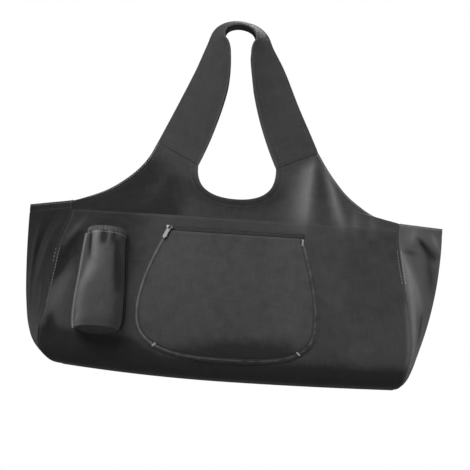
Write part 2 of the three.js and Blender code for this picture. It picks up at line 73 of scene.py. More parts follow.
class Wire:
    """A socket of a material's node tree, which can be added, multiplied and linked on."""

    def __init__(self, tree, socket=None):
        self.tree = tree
        self.socket = socket

    def node(self, kind, settings=None, inputs=None, output=0):
        made = self.tree.nodes.new(kind)
        for name, value in (settings or {}).items():
            if name == "stops":
                ramp = made.color_ramp.elements
                while len(ramp) < len(value):
                    ramp.new(1.0)
                for stop, (place, level) in zip(ramp, value):
                    stop.position = place
                    stop.color = (level, level, level, 1)
            else:
                setattr(made, name, value)
        for name, value in (inputs or {}).items():
            if isinstance(value, Wire):
                self.tree.links.new(value.socket, made.inputs[name])
            else:
                made.inputs[name].default_value = value
        return Wire(self.tree, made.outputs[output] if made.outputs else None)

    def out(self, name):
        return Wire(self.tree, self.socket.node.outputs[name])

    def maths(self, operation, *values):
        return self.node("ShaderNodeMath", {"operation": operation}, dict(enumerate(values)))

    def __add__(self, other):
        return self.maths("ADD", self, other)

    def __sub__(self, other):
        return self.maths("SUBTRACT", self, other)

    def __rsub__(self, other):
        return self.maths("SUBTRACT", other, self)

    def __mul__(self, other):
        return self.maths("MULTIPLY", self, other)

    __radd__ = __add__
    __rmul__ = __mul__

    def wave(self, pitch):
        return self.maths("SINE", self * (2 * math.pi / pitch))

    def noise(self, scale, detail):
        return self.node("ShaderNodeTexNoise", inputs={"Vector": self, "Scale": scale, "Detail": detail})


def new_finish(name):
    material = bpy.data.materials.new(name)
    material.use_nodes = True
    material.node_tree.nodes.clear()
    return material, Wire(material.node_tree)


def close_finish(wire, surface):
    shader = wire.node("ShaderNodeBsdfPrincipled", inputs=surface)
    wire.node("ShaderNodeOutputMaterial", inputs={"Surface": shader})


def blend_colours(wire, share, dark, light):
    return wire.node(
        "ShaderNodeMix", {"data_type": "RGBA"}, {0: share, 6: (*dark, 1), 7: (*light, 1)}, output=2)


def floor_finish():
    material, wire = new_finish("pale_floor")
    place = wire.node("ShaderNodeTexCoord", output="Object")
    cloud = place.noise(scale=0.8, detail=3)
    colour = blend_colours(wire, cloud, (0.5, 0.5, 0.49), (0.57, 0.57, 0.56))
    close_finish(wire, {"Base Color": colour, "Roughness": 0.9})
    return material


floor_mesh = bpy.data.meshes.new("floor")
floor_turns = [2 * math.pi * i / FLOOR_SIDES for i in range(FLOOR_SIDES)]
floor_rim = [(FLOOR_RADIUS * math.cos(t), FLOOR_RADIUS * math.sin(t), FLOOR_Z) for t in floor_turns]
floor_mesh.from_pydata(floor_rim, [], [range(FLOOR_SIDES)])
floor_mesh.materials.append(floor_finish())
floor = add_object("floor", floor_mesh)

# The surround is white round the horizon, like a studio's wall, and dimmer overhead.
world = bpy.data.worlds.new("surround")
world.use_nodes = True
world.node_tree.nodes.clear()
sky = Wire(world.node_tree)
upward = sky.node("ShaderNodeSeparateXYZ", inputs={0: sky.node("ShaderNodeTexCoord")}, output="Z")
wall = sky.node("ShaderNodeValToRGB", {"stops": [(0.2, 1.0), (0.5, 0.3)]}, {"Fac": upward})
glow = sky.node("ShaderNodeBackground", inputs={"Color": wall, "Strength": 1.0})
sky.node("ShaderNodeOutputWorld", inputs={"Surface": glow})
scene.world = world
scene.view_settings.view_transform = "Standard"


def studio_light(name, place, target, size, power):
    data = bpy.data.lights.new(name, "AREA")
    data.shape = "DISK"
    data.size = size
    data.energy = power
    light = add_object(name, data)
    aim = (Vector(target) - Vector(place)).to_track_quat("-Z", "Y")
    light.matrix_world = Matrix.Translation(place) @ aim.to_matrix().to_4x4()


studio_light("key_light", place=(-1.1, -2.05, 1.5), target=(0.0, -0.05, -0.45), size=1.6, power=120)
studio_light("back_light", place=(0.9, 2.6, 1.2), target=(0.0, 0.05, -0.4), size=1.6, power=110)
studio_light("side_light", place=(2.4, -0.9, 0.0), target=(0.3, 0.0, -0.45), size=1.0, power=24)


# Front panel: one wide piece of black plain-weave polyester. It rolls under into the base at its foot and
# is drawn in towards the end gussets. Its corner seams are turned in and topstitched.
CLOTH = 1.6
FOLD_RADIUS = 2.6
BODY_CENTRE_X = 18
BASE_Z = -696
TOP_SEAM_HEIGHT = 314
END_LIFT_LEFT = 14
END_LIFT_RIGHT = 5
END_LIFT_FADE = 200
PANEL_SQUARENESS = 3
SEAM_HOLD_POWER = 8
# Height above the base; for each end, how far out its crease is and how wide it is spread in degrees;
# half the gusset's width; half the depth of the body's middle.
BODY_SECTIONS = [
    (0, 322, 80, 330, 80, 50, 52),
    (5, 341, 80, 341, 80, 70, 70),
    (16, 358, 81, 351, 80, 84, 83),
    (36, 376, 79, 360, 79, 94, 92),
    (66, 388, 74, 369, 77, 97, 96),
    (128, 397, 62, 385, 65, 97, 92),
    (199, 401, 53, 397, 48, 97, 80),
    (266, 402, 39, 402, 27, 92, 62),
    (326, 401, 4, 402, 4, 82, 42),
]
# Folds as a line from (x, z) down to (x, z), a width, a height that is negative for a valley, and how
# much steeper its right flank is than its left.
FRONT_FOLDS = [
    (-272, -400, -314, -462, 9, 4.5, 0),
    (-278, -430, -332, -545, 10, -9, 0.2),
    (-288, -500, -328, -590, 22, 5.5, 0.2),
    (-321, -590, -319, -642, 9, -10, 0),
    (-196, -628, -178, -660, 9, 3, 0),
    (300, -610, 230, -640, 20, 1.5, 0),
    (161, -240, 148, -414, 18, 12, 0.4),
    (176, -282, 196, -404, 10, -2.5, 0),
    (187, -272, 230, -404, 10, 10.5, 0.15),
    (248, -352, 250, -412, 9, 3.6, 0),
    (282, -358, 285, -408, 9, 2.8, 0),
    (-110, -290, -180, -385, 22, 1.5, 0),
]
FRONT_GRID = (240, 112)
CORNER_CROWDING = 1.25
FOOT_CROWDING = 0.12
PANEL_HALF_WIDTH = 330
FOOT_HOLD = 30
UNDULATION = 1.1
BROAD_WAVES = 85
FINE_WAVES = 31
SEAM_DIP = 1.3
SEAM_DIP_WIDTH = 2.4
PUCKER = 0.55
PUCKER_SIZE = 7
PUCKER_REACH = 9
TOPSTITCH_INSET = 4
GROOVE = 0.5
GROOVE_WIDTH = 1.3
SEAM_WEAR = 0.2
SEAM_WEAR_WIDTH = 3.5
FOOT_SHADE = 1.1
FOOT_SHADE_START = 18
FOOT_SHADE_RISE = 34
FOOT_SHADE_FADE = 42
# Heights between which the thread of a corner's seam is rubbed light, at the left and at the right.
RUBBED_PANEL_SEAM = {-1: (168, 238), 1: (212, 274)}


def curve_between(start, leaving, end, arriving, t):
    """A smooth step from one value to the next, with the slopes at which it leaves and arrives."""
    near = (1 + 2 * t) * (1 - t) ** 2 * start + t * (1 - t) ** 2 * leaving
    return near + t ** 2 * (3 - 2 * t) * end - t ** 2 * (1 - t) * arriving


def read_table(rows, at):
    """Every column of a table but its first, read at places along the first on a smooth curve."""
    table = np.array(rows, float)
    places = table[:, 0]
    values = table[:, 1:]
    secants = np.diff(values, axis=0) / np.diff(places)[:, None]
    slopes = np.vstack([secants[:1], (secants[:-1] + secants[1:]) / 2, secants[-1:]])
    at = np.clip(np.asarray(at, float), places[0], places[-1])
    row = np.clip(np.searchsorted(places, at, side="right") - 1, 0, len(places) - 2)
    run = (places[row + 1] - places[row])[..., None]
    t = (at - places[row])[..., None] / run
    read = curve_between(values[row], run * slopes[row], values[row + 1], run * slopes[row + 1], t)
    return np.moveaxis(read, -1, 0)


def smooth(t):
    t = np.clip(t, 0, 1)
    return t * t * (3 - 2 * t)


def fade(value, start, run):
    """From 0 at a start to 1 a run further on."""
    return smooth((value - start) / run)


def bell(distance, width):
    return np.exp(-(distance / width) ** 2)


def alike(*values):
    """Numbers or arrays as arrays of one shape."""
    return np.broadcast_arrays(*(np.asarray(value, float) for value in values))


def soft_noise(a, b, size, seed):
    """Seeded noise between -1 and 1 that changes smoothly over about the given size."""
    lattice = np.random.default_rng(seed).uniform(-1, 1, (64, 64))
    a, b = (value / size for value in alike(a, b))
    i = np.floor(a).astype(int)
    j = np.floor(b).astype(int)
    s = smooth(a - i)
    t = smooth(b - j)
    low = lattice[i % 64, j % 64] * (1 - s) + lattice[(i + 1) % 64, j % 64] * s
    high = lattice[i % 64, (j + 1) % 64] * (1 - s) + lattice[(i + 1) % 64, (j + 1) % 64] * s
    return low * (1 - t) + high * t


def fold_relief(folds, a, b):
    """Sum of the folds at places (a, b): each starts narrow, widens along its line and dies out."""
    total = np.zeros(np.broadcast(a, b).shape)
    for from_a, from_b, to_a, to_b, width, height, skew in folds:
        run_a = to_a - from_a
        run_b = to_b - from_b
        share = ((a - from_a) * run_a + (b - from_b) * run_b) / (run_a ** 2 + run_b ** 2)
        share = np.clip(share, 0, 1)
        distance = np.hypot(a - from_a - share * run_a, b - from_b - share * run_b)
        across = (run_a * (b - from_b) - run_b * (a - from_a)) / math.hypot(run_a, run_b)
        flank = width * (0.7 + 0.5 * share) * (1 - skew * np.tanh(3 * across / width))
        lengthwise = np.sin(np.pi * (0.15 + 0.85 * share))
        total += height * lengthwise * np.exp(-(distance / flank) ** 1.7)
    return total


def seam_relief(distance, along, seed):
    """A sewn edge: the cloth dips into the seam and is slightly puckered beside it."""
    dip = -SEAM_DIP * bell(distance, SEAM_DIP_WIDTH)
    pucker = PUCKER * np.exp(-distance / PUCKER_REACH) * soft_noise(along, distance * 0.3, PUCKER_SIZE, seed)
    groove = -GROOVE * bell(distance - TOPSTITCH_INSET, GROOVE_WIDTH)
    return dip + pucker + groove


def folded_band(crown, inward, spread_degrees, wing, share):
    """A band folded along its crown: share runs from -1 at its front edge to 1 at its back edge."""
    spread = np.radians(spread_degrees)
    turn = np.pi / 2 - spread
    run = np.abs(share) * (FOLD_RADIUS * turn + wing)
    angle = np.minimum(run / FOLD_RADIUS, turn)
    straight = run - angle * FOLD_RADIUS
    deep = FOLD_RADIUS * (1 - np.cos(angle)) + straight * np.cos(spread)
    wide = FOLD_RADIUS * np.sin(angle) + straight * np.sin(spread)
    point = crown + deep[..., None] * inward
    point[..., 1] += np.sign(share) * wide
    return point


def end_lift(share, height):
    lift = np.where(share < 0, END_LIFT_LEFT, END_LIFT_RIGHT)
    return lift * share ** 2 * (1 - smooth(height / END_LIFT_FADE))


def gusset_point(end, share, height):
    end, share, height = alike(end, share, height)
    left, left_spread, right, right_spread, wing, _ = read_table(BODY_SECTIONS, height)
    crease = np.where(end < 0, left, right)
    spread = np.where(end < 0, left_spread, right_spread)
    nought = np.zeros_like(height)
    z = BASE_Z + height + end_lift(end, height)
    crown = np.stack([BODY_CENTRE_X + end * crease, nought, z], -1)
    return folded_band(crown, np.stack([-end, nought, nought], -1), spread, wing, share)


def panel_point(side, share, height):
    share, height = alike(share, height)
    corner = gusset_point(np.where(share < 0, -1, 1), side, height)
    middle = read_table(BODY_SECTIONS, height)[-1]
    drawn_in = np.abs(share) ** PANEL_SQUARENESS
    depth = middle * (1 - drawn_in) + np.abs(corner[..., 1]) * drawn_in
    x = BODY_CENTRE_X + np.abs(share) * (corner[..., 0] - BODY_CENTRE_X)
    z = BASE_Z + height + end_lift(share, height)
    return np.stack([x, side * depth, z], -1)


def seam_hold(share):
    """How freely cloth may wave: not at all at its side seams, where share is -1 and 1."""
    return 1 - np.abs(share) ** SEAM_HOLD_POWER


def front_relief(x, z):
    broad = UNDULATION * soft_noise(x, z * 0.7, BROAD_WAVES, 11)
    fine = 0.35 * UNDULATION * soft_noise(x * 1.2, z * 0.8, FINE_WAVES, 12)
    return fold_relief(FRONT_FOLDS, x, z) + broad + fine


def front_point(share, height):
    point = panel_point(-1, share, height)
    held = seam_hold(share) * smooth(height / FOOT_HOLD)
    point[..., 1] -= held * front_relief(point[..., 0], point[..., 2])
    return point


def unit(vectors):
    return vectors / np.maximum(np.linalg.norm(vectors, axis=-1, keepdims=True), 1e-9)


def outward_of(grid):
    """The outward direction at every point of a grid whose columns run along u and rows up v."""
    return unit(np.cross(np.gradient(grid, axis=1), np.gradient(grid, axis=0)))


def run_along(path):
    """How far along a path each of its points is."""
    return np.concatenate([[0], np.cumsum(np.linalg.norm(np.diff(path, axis=0), axis=-1))])


def cut_lengths(grid):
    """Lengths along the cloth from its lower left corner, in metres, which its weave follows."""
    across = run_along(grid[grid.shape[0] // 2])
    up = run_along(grid[:, grid.shape[1] // 2])
    return np.stack(np.meshgrid(across, up), -1) * MM


def sew_cloth(name, grid, thickness, finish, wear=0.0, cut=None):
    """A closed wall of cloth: its outer face on the grid, its inner one a thickness behind."""
    rows, columns, _ = grid.shape
    thickness = np.broadcast_to(np.asarray(thickness, float), (rows, columns))[..., None]
    layers = np.stack([grid, grid - outward_of(grid) * thickness])
    number = np.arange(2 * rows * columns).reshape(2, rows, columns)
    faces = []
    for side, turn in (
        (number[0], 1), (number[1], -1),
        (number[:, 0], -1), (number[:, -1], 1), (number[:, :, 0], 1), (number[:, :, -1], -1),
    ):
        corners = [side[:-1, :-1], side[:-1, 1:], side[1:, 1:], side[1:, :-1]][::turn]
        faces.append(np.stack(corners, -1).reshape(-1, 4))
    faces = np.concatenate(faces)
    mesh = bpy.data.meshes.new(name)
    mesh.from_pydata((layers.reshape(-1, 3) * MM).tolist(), [], faces.tolist())
    cut = cut_lengths(grid) if cut is None else cut
    spots = np.concatenate([cut.reshape(-1, 2)] * 2)
    mesh.uv_layers.new(name="cut").data.foreach_set("uv", spots[faces.ravel()].ravel())
    # The attribute carries real wear together with painted light and shade.
    worn_lit_and_shaded = np.broadcast_to(np.asarray(wear, float), (2, rows, columns)).ravel()
    mesh.attributes.new("wear", "FLOAT", "POINT").data.foreach_set("value", worn_lit_and_shaded)
    mesh.shade_smooth()
    mesh.set_sharp_from_angle(angle=math.radians(55))
    mesh.materials.append(finish)
    return add_object(name, mesh)


def woven_finish(name, dark, light, weave=0.0009, relief=0.5):
    """Plain-weave polyester: fine threads, slubs along both of them, soft mottling, worn edges, and painted
    light and shade.
    """
    material, wire = new_finish(name)
    cloth = wire.node("ShaderNodeUVMap", {"uv_map": "cut"})
    place = wire.node("ShaderNodeTexCoord", output="Object")
    warp_run = wire.node("ShaderNodeMapping", inputs={"Vector": cloth, "Scale": (520, 34, 1)})
    weft_run = wire.node("ShaderNodeMapping", inputs={"Vector": cloth, "Scale": (34, 520, 1)})
    mottle = place.noise(scale=55, detail=5)
    cloud = place.noise(scale=6, detail=3)
    wear = wire.node("ShaderNodeAttribute", {"attribute_name": "wear"}, output="Fac")
    axes = wire.node("ShaderNodeSeparateXYZ", inputs={0: cloth})
    crossing = axes.out("X").wave(weave) * axes.out("Y").wave(weave)
    slubs = warp_run.noise(scale=1, detail=2) * 0.55 + weft_run.noise(scale=1, detail=2) * 0.45
    # The tone takes in the mesh's attribute of worn places and of painted light and shade.
    tone = slubs * 0.27 + mottle * 0.23 + cloud * 0.17 + crossing * 0.026 + wear * 0.325 - 0.143
    level = wire.node("ShaderNodeClamp", inputs={"Value": tone})
    height = crossing * 0.35 + slubs * 0.9
    bump = wire.node("ShaderNodeBump", inputs={"Strength": relief, "Distance": 0.0006, "Height": height})
    roughness = 0.62 + mottle * 0.3 - wear * 0.08
    close_finish(wire, {
        "Base Color": blend_colours(wire, level, dark, light),
        "Roughness": roughness,
        "Normal": bump,
        "Specular IOR Level": 0.2,
        "Sheen Weight": 0.05,
        "Sheen Roughness": 0.4,
    })
    return material


panel_finish = woven_finish("black_panel_cloth", (0.0055, 0.0055, 0.0055), (0.092, 0.092, 0.093))


def row_tree():
    """Geometry nodes that set one small rounded shape at a pitch along paths: stitches, or zip teeth."""
    tree = bpy.data.node_groups.new("rows_along_paths", "GeometryNodeTree")
    sockets = {"Paths": "Geometry", "Pitch": "Float", "Length": "Float", "Width": "Float", "Height": "Float",
               "Seed": "Int", "Finish": "Material"}
    for name, kind in sockets.items():
        tree.interface.new_socket(name, in_out="INPUT", socket_type="NodeSocket" + kind)
    tree.interface.new_socket("Rows", in_out="OUTPUT", socket_type="NodeSocketGeometry")
    wire = Wire(tree)
    given = wire.node("NodeGroupInput")
    line = wire.node("GeometryNodeMeshToCurve", inputs={"Mesh": given.out("Paths")})
    line = wire.node(
        "GeometryNodeResampleCurve", {"mode": "LENGTH"}, {"Curve": line, "Length": given.out("Pitch")})
    bead = wire.node("GeometryNodeMeshUVSphere", inputs={"Segments": 6, "Rings": 4, "Radius": 0.5})
    bead = wire.node("GeometryNodeSetShadeSmooth", inputs={"Geometry": bead})
    heading = wire.node("GeometryNodeInputTangent")
    outward = wire.node(
        "GeometryNodeInputNamedAttribute", {"data_type": "FLOAT_VECTOR"}, {"Name": "outward"})
    turned = wire.node("FunctionNodeAlignRotationToVector", {"axis": "X"}, {"Vector": heading})
    turned = wire.node(
        "FunctionNodeAlignRotationToVector", {"axis": "Z", "pivot_axis": "X"},
        {"Rotation": turned, "Vector": outward})
    sides = {axis: given.out(name) for axis, name in (("X", "Length"), ("Y", "Width"), ("Z", "Height"))}
    size = wire.node("ShaderNodeCombineXYZ", inputs=sides)
    spread = {2: 0.88, 3: 1.08, "Seed": given.out("Seed")}
    vary = wire.node("FunctionNodeRandomValue", {"data_type": "FLOAT"}, spread, output=1)
    size = wire.node("ShaderNodeVectorMath", {"operation": "SCALE"}, {0: size, "Scale": vary})
    rows = wire.node(
        "GeometryNodeInstanceOnPoints",
        inputs={"Points": line, "Instance": bead, "Rotation": turned, "Scale": size})
    rows = wire.node("GeometryNodeRealizeInstances", inputs={"Geometry": rows})
    rows = wire.node("GeometryNodeSetMaterial", inputs={"Geometry": rows, "Material": given.out("Finish")})
    wire.node("NodeGroupOutput", inputs={"Rows": rows})
    return tree


def thread_finish(name, dark, light):
    material, wire = new_finish(name)
    place = wire.node("ShaderNodeTexCoord", output="Object")
    twist = place.noise(scale=700, detail=2)
    close_finish(wire, {
        "Base Color": blend_colours(wire, twist, dark, light),
        "Roughness": 0.45 + twist * 0.3,
    })
    return material


stitch_rows = row_tree()
grey_thread = thread_finish("grey_thread", (0.12, 0.12, 0.12), (0.42, 0.42, 0.42))
black_thread = thread_finish("black_thread", (0.012, 0.012, 0.012), (0.05, 0.05, 0.05))
# Pitch, length, width and height of a stitch.
STITCH = (5.0, 3.6, 1.0, 0.7)
RUBBED_STITCH = (6.0, 3.2, 1.3, 0.9)


def face_of(grid):
    """A grid's points with their outward directions, which rows of stitches follow."""
    return np.concatenate([grid, outward_of(grid)], -1)


def line_at(face, distance, inset):
    """Where every line of a face, running in from an edge, has come as far as an inset from it."""
    step = np.maximum(np.argmax(distance >= inset, axis=1), 1)
    line = np.arange(len(face))
    near = distance[line, step - 1]
    share = np.clip((inset - near) / np.maximum(distance[line, step] - near, 1e-6), 0, 1)[:, None]
    return face[line, step - 1] * (1 - share) + face[line, step] * share


def sew_rows(name, paths, seed, shape=STITCH, finish=black_thread, lift=0.15):
    """Rows of a small shape along paths of points and outward directions, made into one plain mesh."""
    points = np.concatenate(paths)
    ends = np.cumsum([len(path) for path in paths])
    edges = [(i, i + 1) for i in range(len(points) - 1) if i + 1 not in ends]
    mesh = bpy.data.meshes.new(name + "_paths")
    mesh.from_pydata(((points[:, :3] + lift * points[:, 3:]) * MM).tolist(), edges, [])
    mesh.attributes.new("outward", "FLOAT_VECTOR", "POINT").data.foreach_set("vector", points[:, 3:].ravel())
    piece = add_object(name, mesh)
    rows = piece.modifiers.new("rows", "NODES")
    rows.node_group = stitch_rows
    values = dict(zip(("Pitch", "Length", "Width", "Height"), (side * MM for side in shape)))
    values.update(Seed=seed, Finish=finish)
    for socket in stitch_rows.interface.items_tree:
        if socket.name in values:
            rows[socket.identifier] = values[socket.name]
    made = bpy.data.meshes.new_from_object(piece.evaluated_get(bpy.context.evaluated_depsgraph_get()))
    made.name = name
    piece.modifiers.clear()
    piece.data = made
    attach(piece, "root")
    return piece


def panel_grid(side, columns, rows):
    """Places on a panel, closer together at its corners and at its foot."""
    share = np.sin(np.linspace(-1, 1, columns + 1) * CORNER_CROWDING) / math.sin(CORNER_CROWDING)
    level = np.linspace(0, 1, rows + 1)
    height = TOP_SEAM_HEIGHT * (level - FOOT_CROWDING * np.sin(2 * np.pi * level) * (level < 0.5))
    share, height = np.meshgrid(share if side < 0 else share[::-1], height)
    return share, height


def panel_seams(share, height, x, seed):
    to_corner = (1 - np.abs(share)) * PANEL_HALF_WIDTH
    sides = seam_relief(to_corner, height, seed)
    top = seam_relief(TOP_SEAM_HEIGHT - height, x, seed + 1)
    foot = -SEAM_DIP * bell(height, SEAM_DIP_WIDTH)
    return sides + top + foot, to_corner, TOP_SEAM_HEIGHT - height


def low_shade(height, x=0.0):
    """Painted shade on the cloth that rolls under at the foot, reaching higher towards the left."""
    start = FOOT_SHADE_START + FOOT_SHADE_RISE * fade(-x, 100, 90)
    return -FOOT_SHADE * (1 - fade(height, start, FOOT_SHADE_FADE))


def panel_rows(grid, to_corner, to_top):
    """A panel's topstitching: down both corner seams and along the top seam."""
    face = face_of(grid)
    return [
        line_at(face, to_corner, TOPSTITCH_INSET),
        line_at(face[:, ::-1], to_corner[:, ::-1], TOPSTITCH_INSET),
        line_at(face.swapaxes(0, 1)[:, ::-1], to_top.T[:, ::-1], TOPSTITCH_INSET),
    ]


def rubbed_parts(row, height, stretch):
    """A seam's row of stitches below, in and above the stretch where its thread is rubbed light."""
    low, high = np.searchsorted(height, stretch)
    return row[:low], row[low:high], row[high:]


def fold_light_and_wear(relief, height, dark, light):
    """Painted highlight on ridges, partly rubbing, and painted shade in valleys, as far as the two limits.
    """
    return np.clip(relief / height, dark, light)


def put_on_bag(piece, node):
    """A finished piece rides on the bag's one body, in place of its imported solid."""
    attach(piece, "root")
    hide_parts(node)


front_share, front_height = panel_grid(-1, *FRONT_GRID)
front_grid = front_point(front_share, front_height)
front_seams, front_to_corner, front_to_top = panel_seams(front_share, front_height, front_grid[..., 0], 21)
front_grid += outward_of(front_grid) * front_seams[..., None]
front_x = front_grid[..., 0]
front_folded = fold_relief(FRONT_FOLDS, front_x, front_grid[..., 2])
# Painted highlight on the folds' ridges and painted shade in their valleys, seam wear, and painted shade at
# the foot.
front_wear_and_light = fold_light_and_wear(front_folded, height=8, dark=-0.5, light=0.8)
front_wear_and_light += SEAM_WEAR * bell(np.minimum(front_to_corner, front_to_top), SEAM_WEAR_WIDTH)
front_wear_and_light += low_shade(front_height, front_x)
# Painted shade darkens the cloth beside the bottle pocket, and a little of the cloth at the right.
front_wear_and_light -= 0.45 * fade(-front_x, 130, 60) * fade(front_height, 150, 90)
front_wear_and_light -= 0.13 * fade(front_x, 215, 40) * fade(front_height, 110, 60)
# The right corner's edge is lighter along the lower half of its seam.
front_edge = bell(front_to_corner - TOPSTITCH_INSET, 4) * (front_share > 0)
front_wear_and_light += 0.9 * front_edge * fade(front_height, 40, 25) * (1 - fade(front_height, 160, 25))
front_panel = sew_cloth("panel_front", front_grid, CLOTH, panel_finish, front_wear_and_light)
*front_corners, front_top = panel_rows(front_grid, front_to_corner, front_to_top)
front_rows = [front_top]
front_rubbed = []
for front_row, front_end in zip(front_corners, (-1, 1)):
    below, rubbed, above = rubbed_parts(front_row, front_height[:, 0], RUBBED_PANEL_SEAM[front_end])
    front_rows += [below, above]
    front_rubbed.append(rubbed)
front_stitches = [
    sew_rows("stitches_front", front_rows, 22),
    sew_rows("rubbed_stitches_front", front_rubbed, 23, RUBBED_STITCH, grey_thread),
]
put_on_bag(front_panel, "front_panel")


# Back panel: the same piece of cloth behind, sewn to the same gussets and base. It has no pockets, so it is
# plain but for its seams and the soft waves of the cloth.
BACK_GRID = (160, 84)
BACK_UNDULATION = 2.0
BACK_WAVES = 95
BACK_FOLDS = [
    (-150, -270, -140, -420, 18, 6, 0.3),
    (-250, -400, -310, -540, 18, -6, 0),
    (190, -300, 240, -470, 20, 6, -0.3),
]


def back_relief(x, z):
    return fold_relief(BACK_FOLDS, x, z) + BACK_UNDULATION * soft_noise(x, z * 0.6, BACK_WAVES, 31)


back_share, back_height = panel_grid(1, *BACK_GRID)
back_grid = panel_point(1, back_share, back_height)
back_held = seam_hold(back_share) * smooth(back_height / FOOT_HOLD)
back_waves = back_relief(back_grid[..., 0], back_grid[..., 2])
back_seams, back_to_corner, back_to_top = panel_seams(back_share, back_height, back_grid[..., 0], 33)
back_grid += outward_of(back_grid) * (back_held * back_waves + back_seams)[..., None]
# Seam wear, and painted shade at the foot.
back_wear_and_shade = SEAM_WEAR * bell(np.minimum(back_to_corner, back_to_top), SEAM_WEAR_WIDTH)
back_wear_and_shade += low_shade(back_height)
back_panel = sew_cloth("panel_back", back_grid, CLOTH, panel_finish, back_wear_and_shade)
back_stitches = sew_rows("stitches_back", panel_rows(back_grid, back_to_corner, back_to_top), 34)
put_on_bag(back_panel, "back_panel")


# End gussets: each is one strip of the same cloth, folded outward along a crease at the top and spread
# flat at the base. The weight of the bag pulls long folds into it from the upper corners.
GUSSET_GRID = (150, 110)
GUSSET_HALF_WIDTH = 97
# Heights of the hem at the crease and at the corners, at the left and at the right.
CREASE_HEIGHT = {-1: 316, 1: 321}
CORNER_HEIGHT = {-1: 330, 1: 326}
CREASE_HOLD = 0.1
GUSSET_UNDULATION = 1.2
GUSSET_WAVES = 40
GUSSET_HEM = 14
GUSSET_GROOVE_WIDTH = 1.5
HEM_ROW = 3
HEM_EXTRA = 0.8
HEM_WEAR = 0.3
HEM_WEAR_WIDTH = 4
CREASE_WEAR = 0.35
CREASE_WEAR_SHARE = 0.04
RUBBED_GUSSET_SEAM = {-1: (212, 236), 1: (212, 274)}
# Folds as before, by distance from the crease, which is negative towards the front, and by height.
LEFT_GUSSET_FOLDS = [
    (-84, 304, -36, 130, 13, 7, 0.2),
    (-60, 304, -24, 180, 9, -6, 0),
    (-34, 296, -14, 120, 8, 5, 0),
    (-70, 170, -70, 70, 11, 2, 0),
    (68, 290, 39, 120, 15, 7, 0.2),
]
RIGHT_GUSSET_FOLDS = [
    (-66, 318, -60, 284, 16, 7, 0),
    (-95, 273, -50, 266, 4.5, -6, 0),
    (-97, 278, -47, 146, 18, 18, 0.3),
    (-54, 298, -8, 249, 7, -11, 0),
    (-22, 304, -4, 266, 9, 9, 0),
    (-30, 262, -10, 180, 12, -7, 0),
    (-80, 196, -80, 56, 13, 15, 0),
    (-44, 150, -40, 84, 8, -6, 0),
    (68, 290, 39, 120, 15, 7, 0.2),
]


def even_grid(across, up, count):
    """Evenly spaced places, in as many columns and rows as the count asks."""
    return np.meshgrid(np.linspace(*across, count[0] + 1), np.linspace(*up, count[1] + 1))


def sew_gusset(name, end, folds, shade, seed):
    share, level = even_grid((-end, end), (0, 1), GUSSET_GRID)
    hem = CREASE_HEIGHT[end] + (CORNER_HEIGHT[end] - CREASE_HEIGHT[end]) * np.abs(share)
    height = hem * level
    grid = gusset_point(end, share, height)
    held = seam_hold(share) * np.minimum(1, np.abs(share) / CREASE_HOLD)
    from_crease = share * GUSSET_HALF_WIDTH
    folded = fold_relief(folds, from_crease, height)
    waves = GUSSET_UNDULATION * soft_noise(from_crease, height * 0.6, GUSSET_WAVES, seed)
    grid[..., 1] += np.sign(share) * held * (folded + waves)
    to_corner = (1 - np.abs(share)) * GUSSET_HALF_WIDTH
    seams = seam_relief(to_corner, height, seed + 1)
    seams -= SEAM_DIP * bell(height, SEAM_DIP_WIDTH)
    to_hem = hem - height
    hem_groove = -GROOVE * bell(to_hem - GUSSET_HEM, GUSSET_GROOVE_WIDTH)
    grid += outward_of(grid) * (seams + hem_groove)[..., None]
    thickness = CLOTH + HEM_EXTRA * (to_hem < GUSSET_HEM)
    # Painted shade or light over the whole gusset, painted shade at its foot, painted highlight and shade on
    # its folds, and wear at its seams, hem and crease.
    worn_lit_and_shaded = shade + low_shade(height, grid[..., 0])
    worn_lit_and_shaded += fold_light_and_wear(folded, height=8, dark=-1.0, light=2.2) * held ** 0.4
    worn_lit_and_shaded += SEAM_WEAR * bell(to_corner, SEAM_WEAR_WIDTH) + HEM_WEAR * bell(to_hem, HEM_WEAR_WIDTH)
    worn_lit_and_shaded += CREASE_WEAR * bell(share, CREASE_WEAR_SHARE)
    face = face_of(grid)
    front, back = (
        line_at(face[:, ::step], to_corner[:, ::step], TOPSTITCH_INSET) for step in (end, -end))
    below, rubbed, above = rubbed_parts(front, height[:, 0], RUBBED_GUSSET_SEAM[end])
    edge, fold = (
        line_at(face.swapaxes(0, 1)[:, ::-1], to_hem.T[:, ::-1], inset) for inset in (HEM_ROW, GUSSET_HEM))
    stitches = [
        sew_rows("stitches_" + name, [below, above, back, fold], seed + 2),
        sew_rows("edge_stitches_" + name, [rubbed, edge], seed + 3, RUBBED_STITCH, grey_thread),
    ]
    return sew_cloth(name, grid, thickness, panel_finish, worn_lit_and_shaded), stitches


# The left gusset is given painted shade and the right one painted light.
gussets = {
    "gusset_left": sew_gusset("end_gusset_left", -1, LEFT_GUSSET_FOLDS, shade=-1.35, seed=41),
    "gusset_right": sew_gusset("end_gusset_right", 1, RIGHT_GUSSET_FOLDS, shade=0.75, seed=44),
}
for node, (gusset, gusset_stitches) in gussets.items():
    put_on_bag(gusset, node)


# Base: a long oval of the same cloth, sewn to the lower edges of the panels and gussets. It sags between
# its ends under what the bag carries.
BASE_GRID = (120, 36)
BASE_LIFT = 0.5
BASE_WAVES = 60
END_BOW_POWER = 6


def base_grid():
    share, across = even_grid((-1, 1), (1, -1), BASE_GRID)
    end = np.where(share < 0, -1, 1)
    front = panel_point(-1, share, 0)
    bow = gusset_point(end, across, 0)[..., 0] - gusset_point(end, -1, 0)[..., 0]
    x = front[..., 0] + bow * np.abs(share) ** END_BOW_POWER
    grid = np.stack([x, np.abs(front[..., 1]) * across, front[..., 2]], -1)
    inside = seam_hold(share) * seam_hold(across)
    grid[..., 2] += BASE_LIFT + inside * (1 + soft_noise(x, grid[..., 1], BASE_WAVES, 51))
    return grid


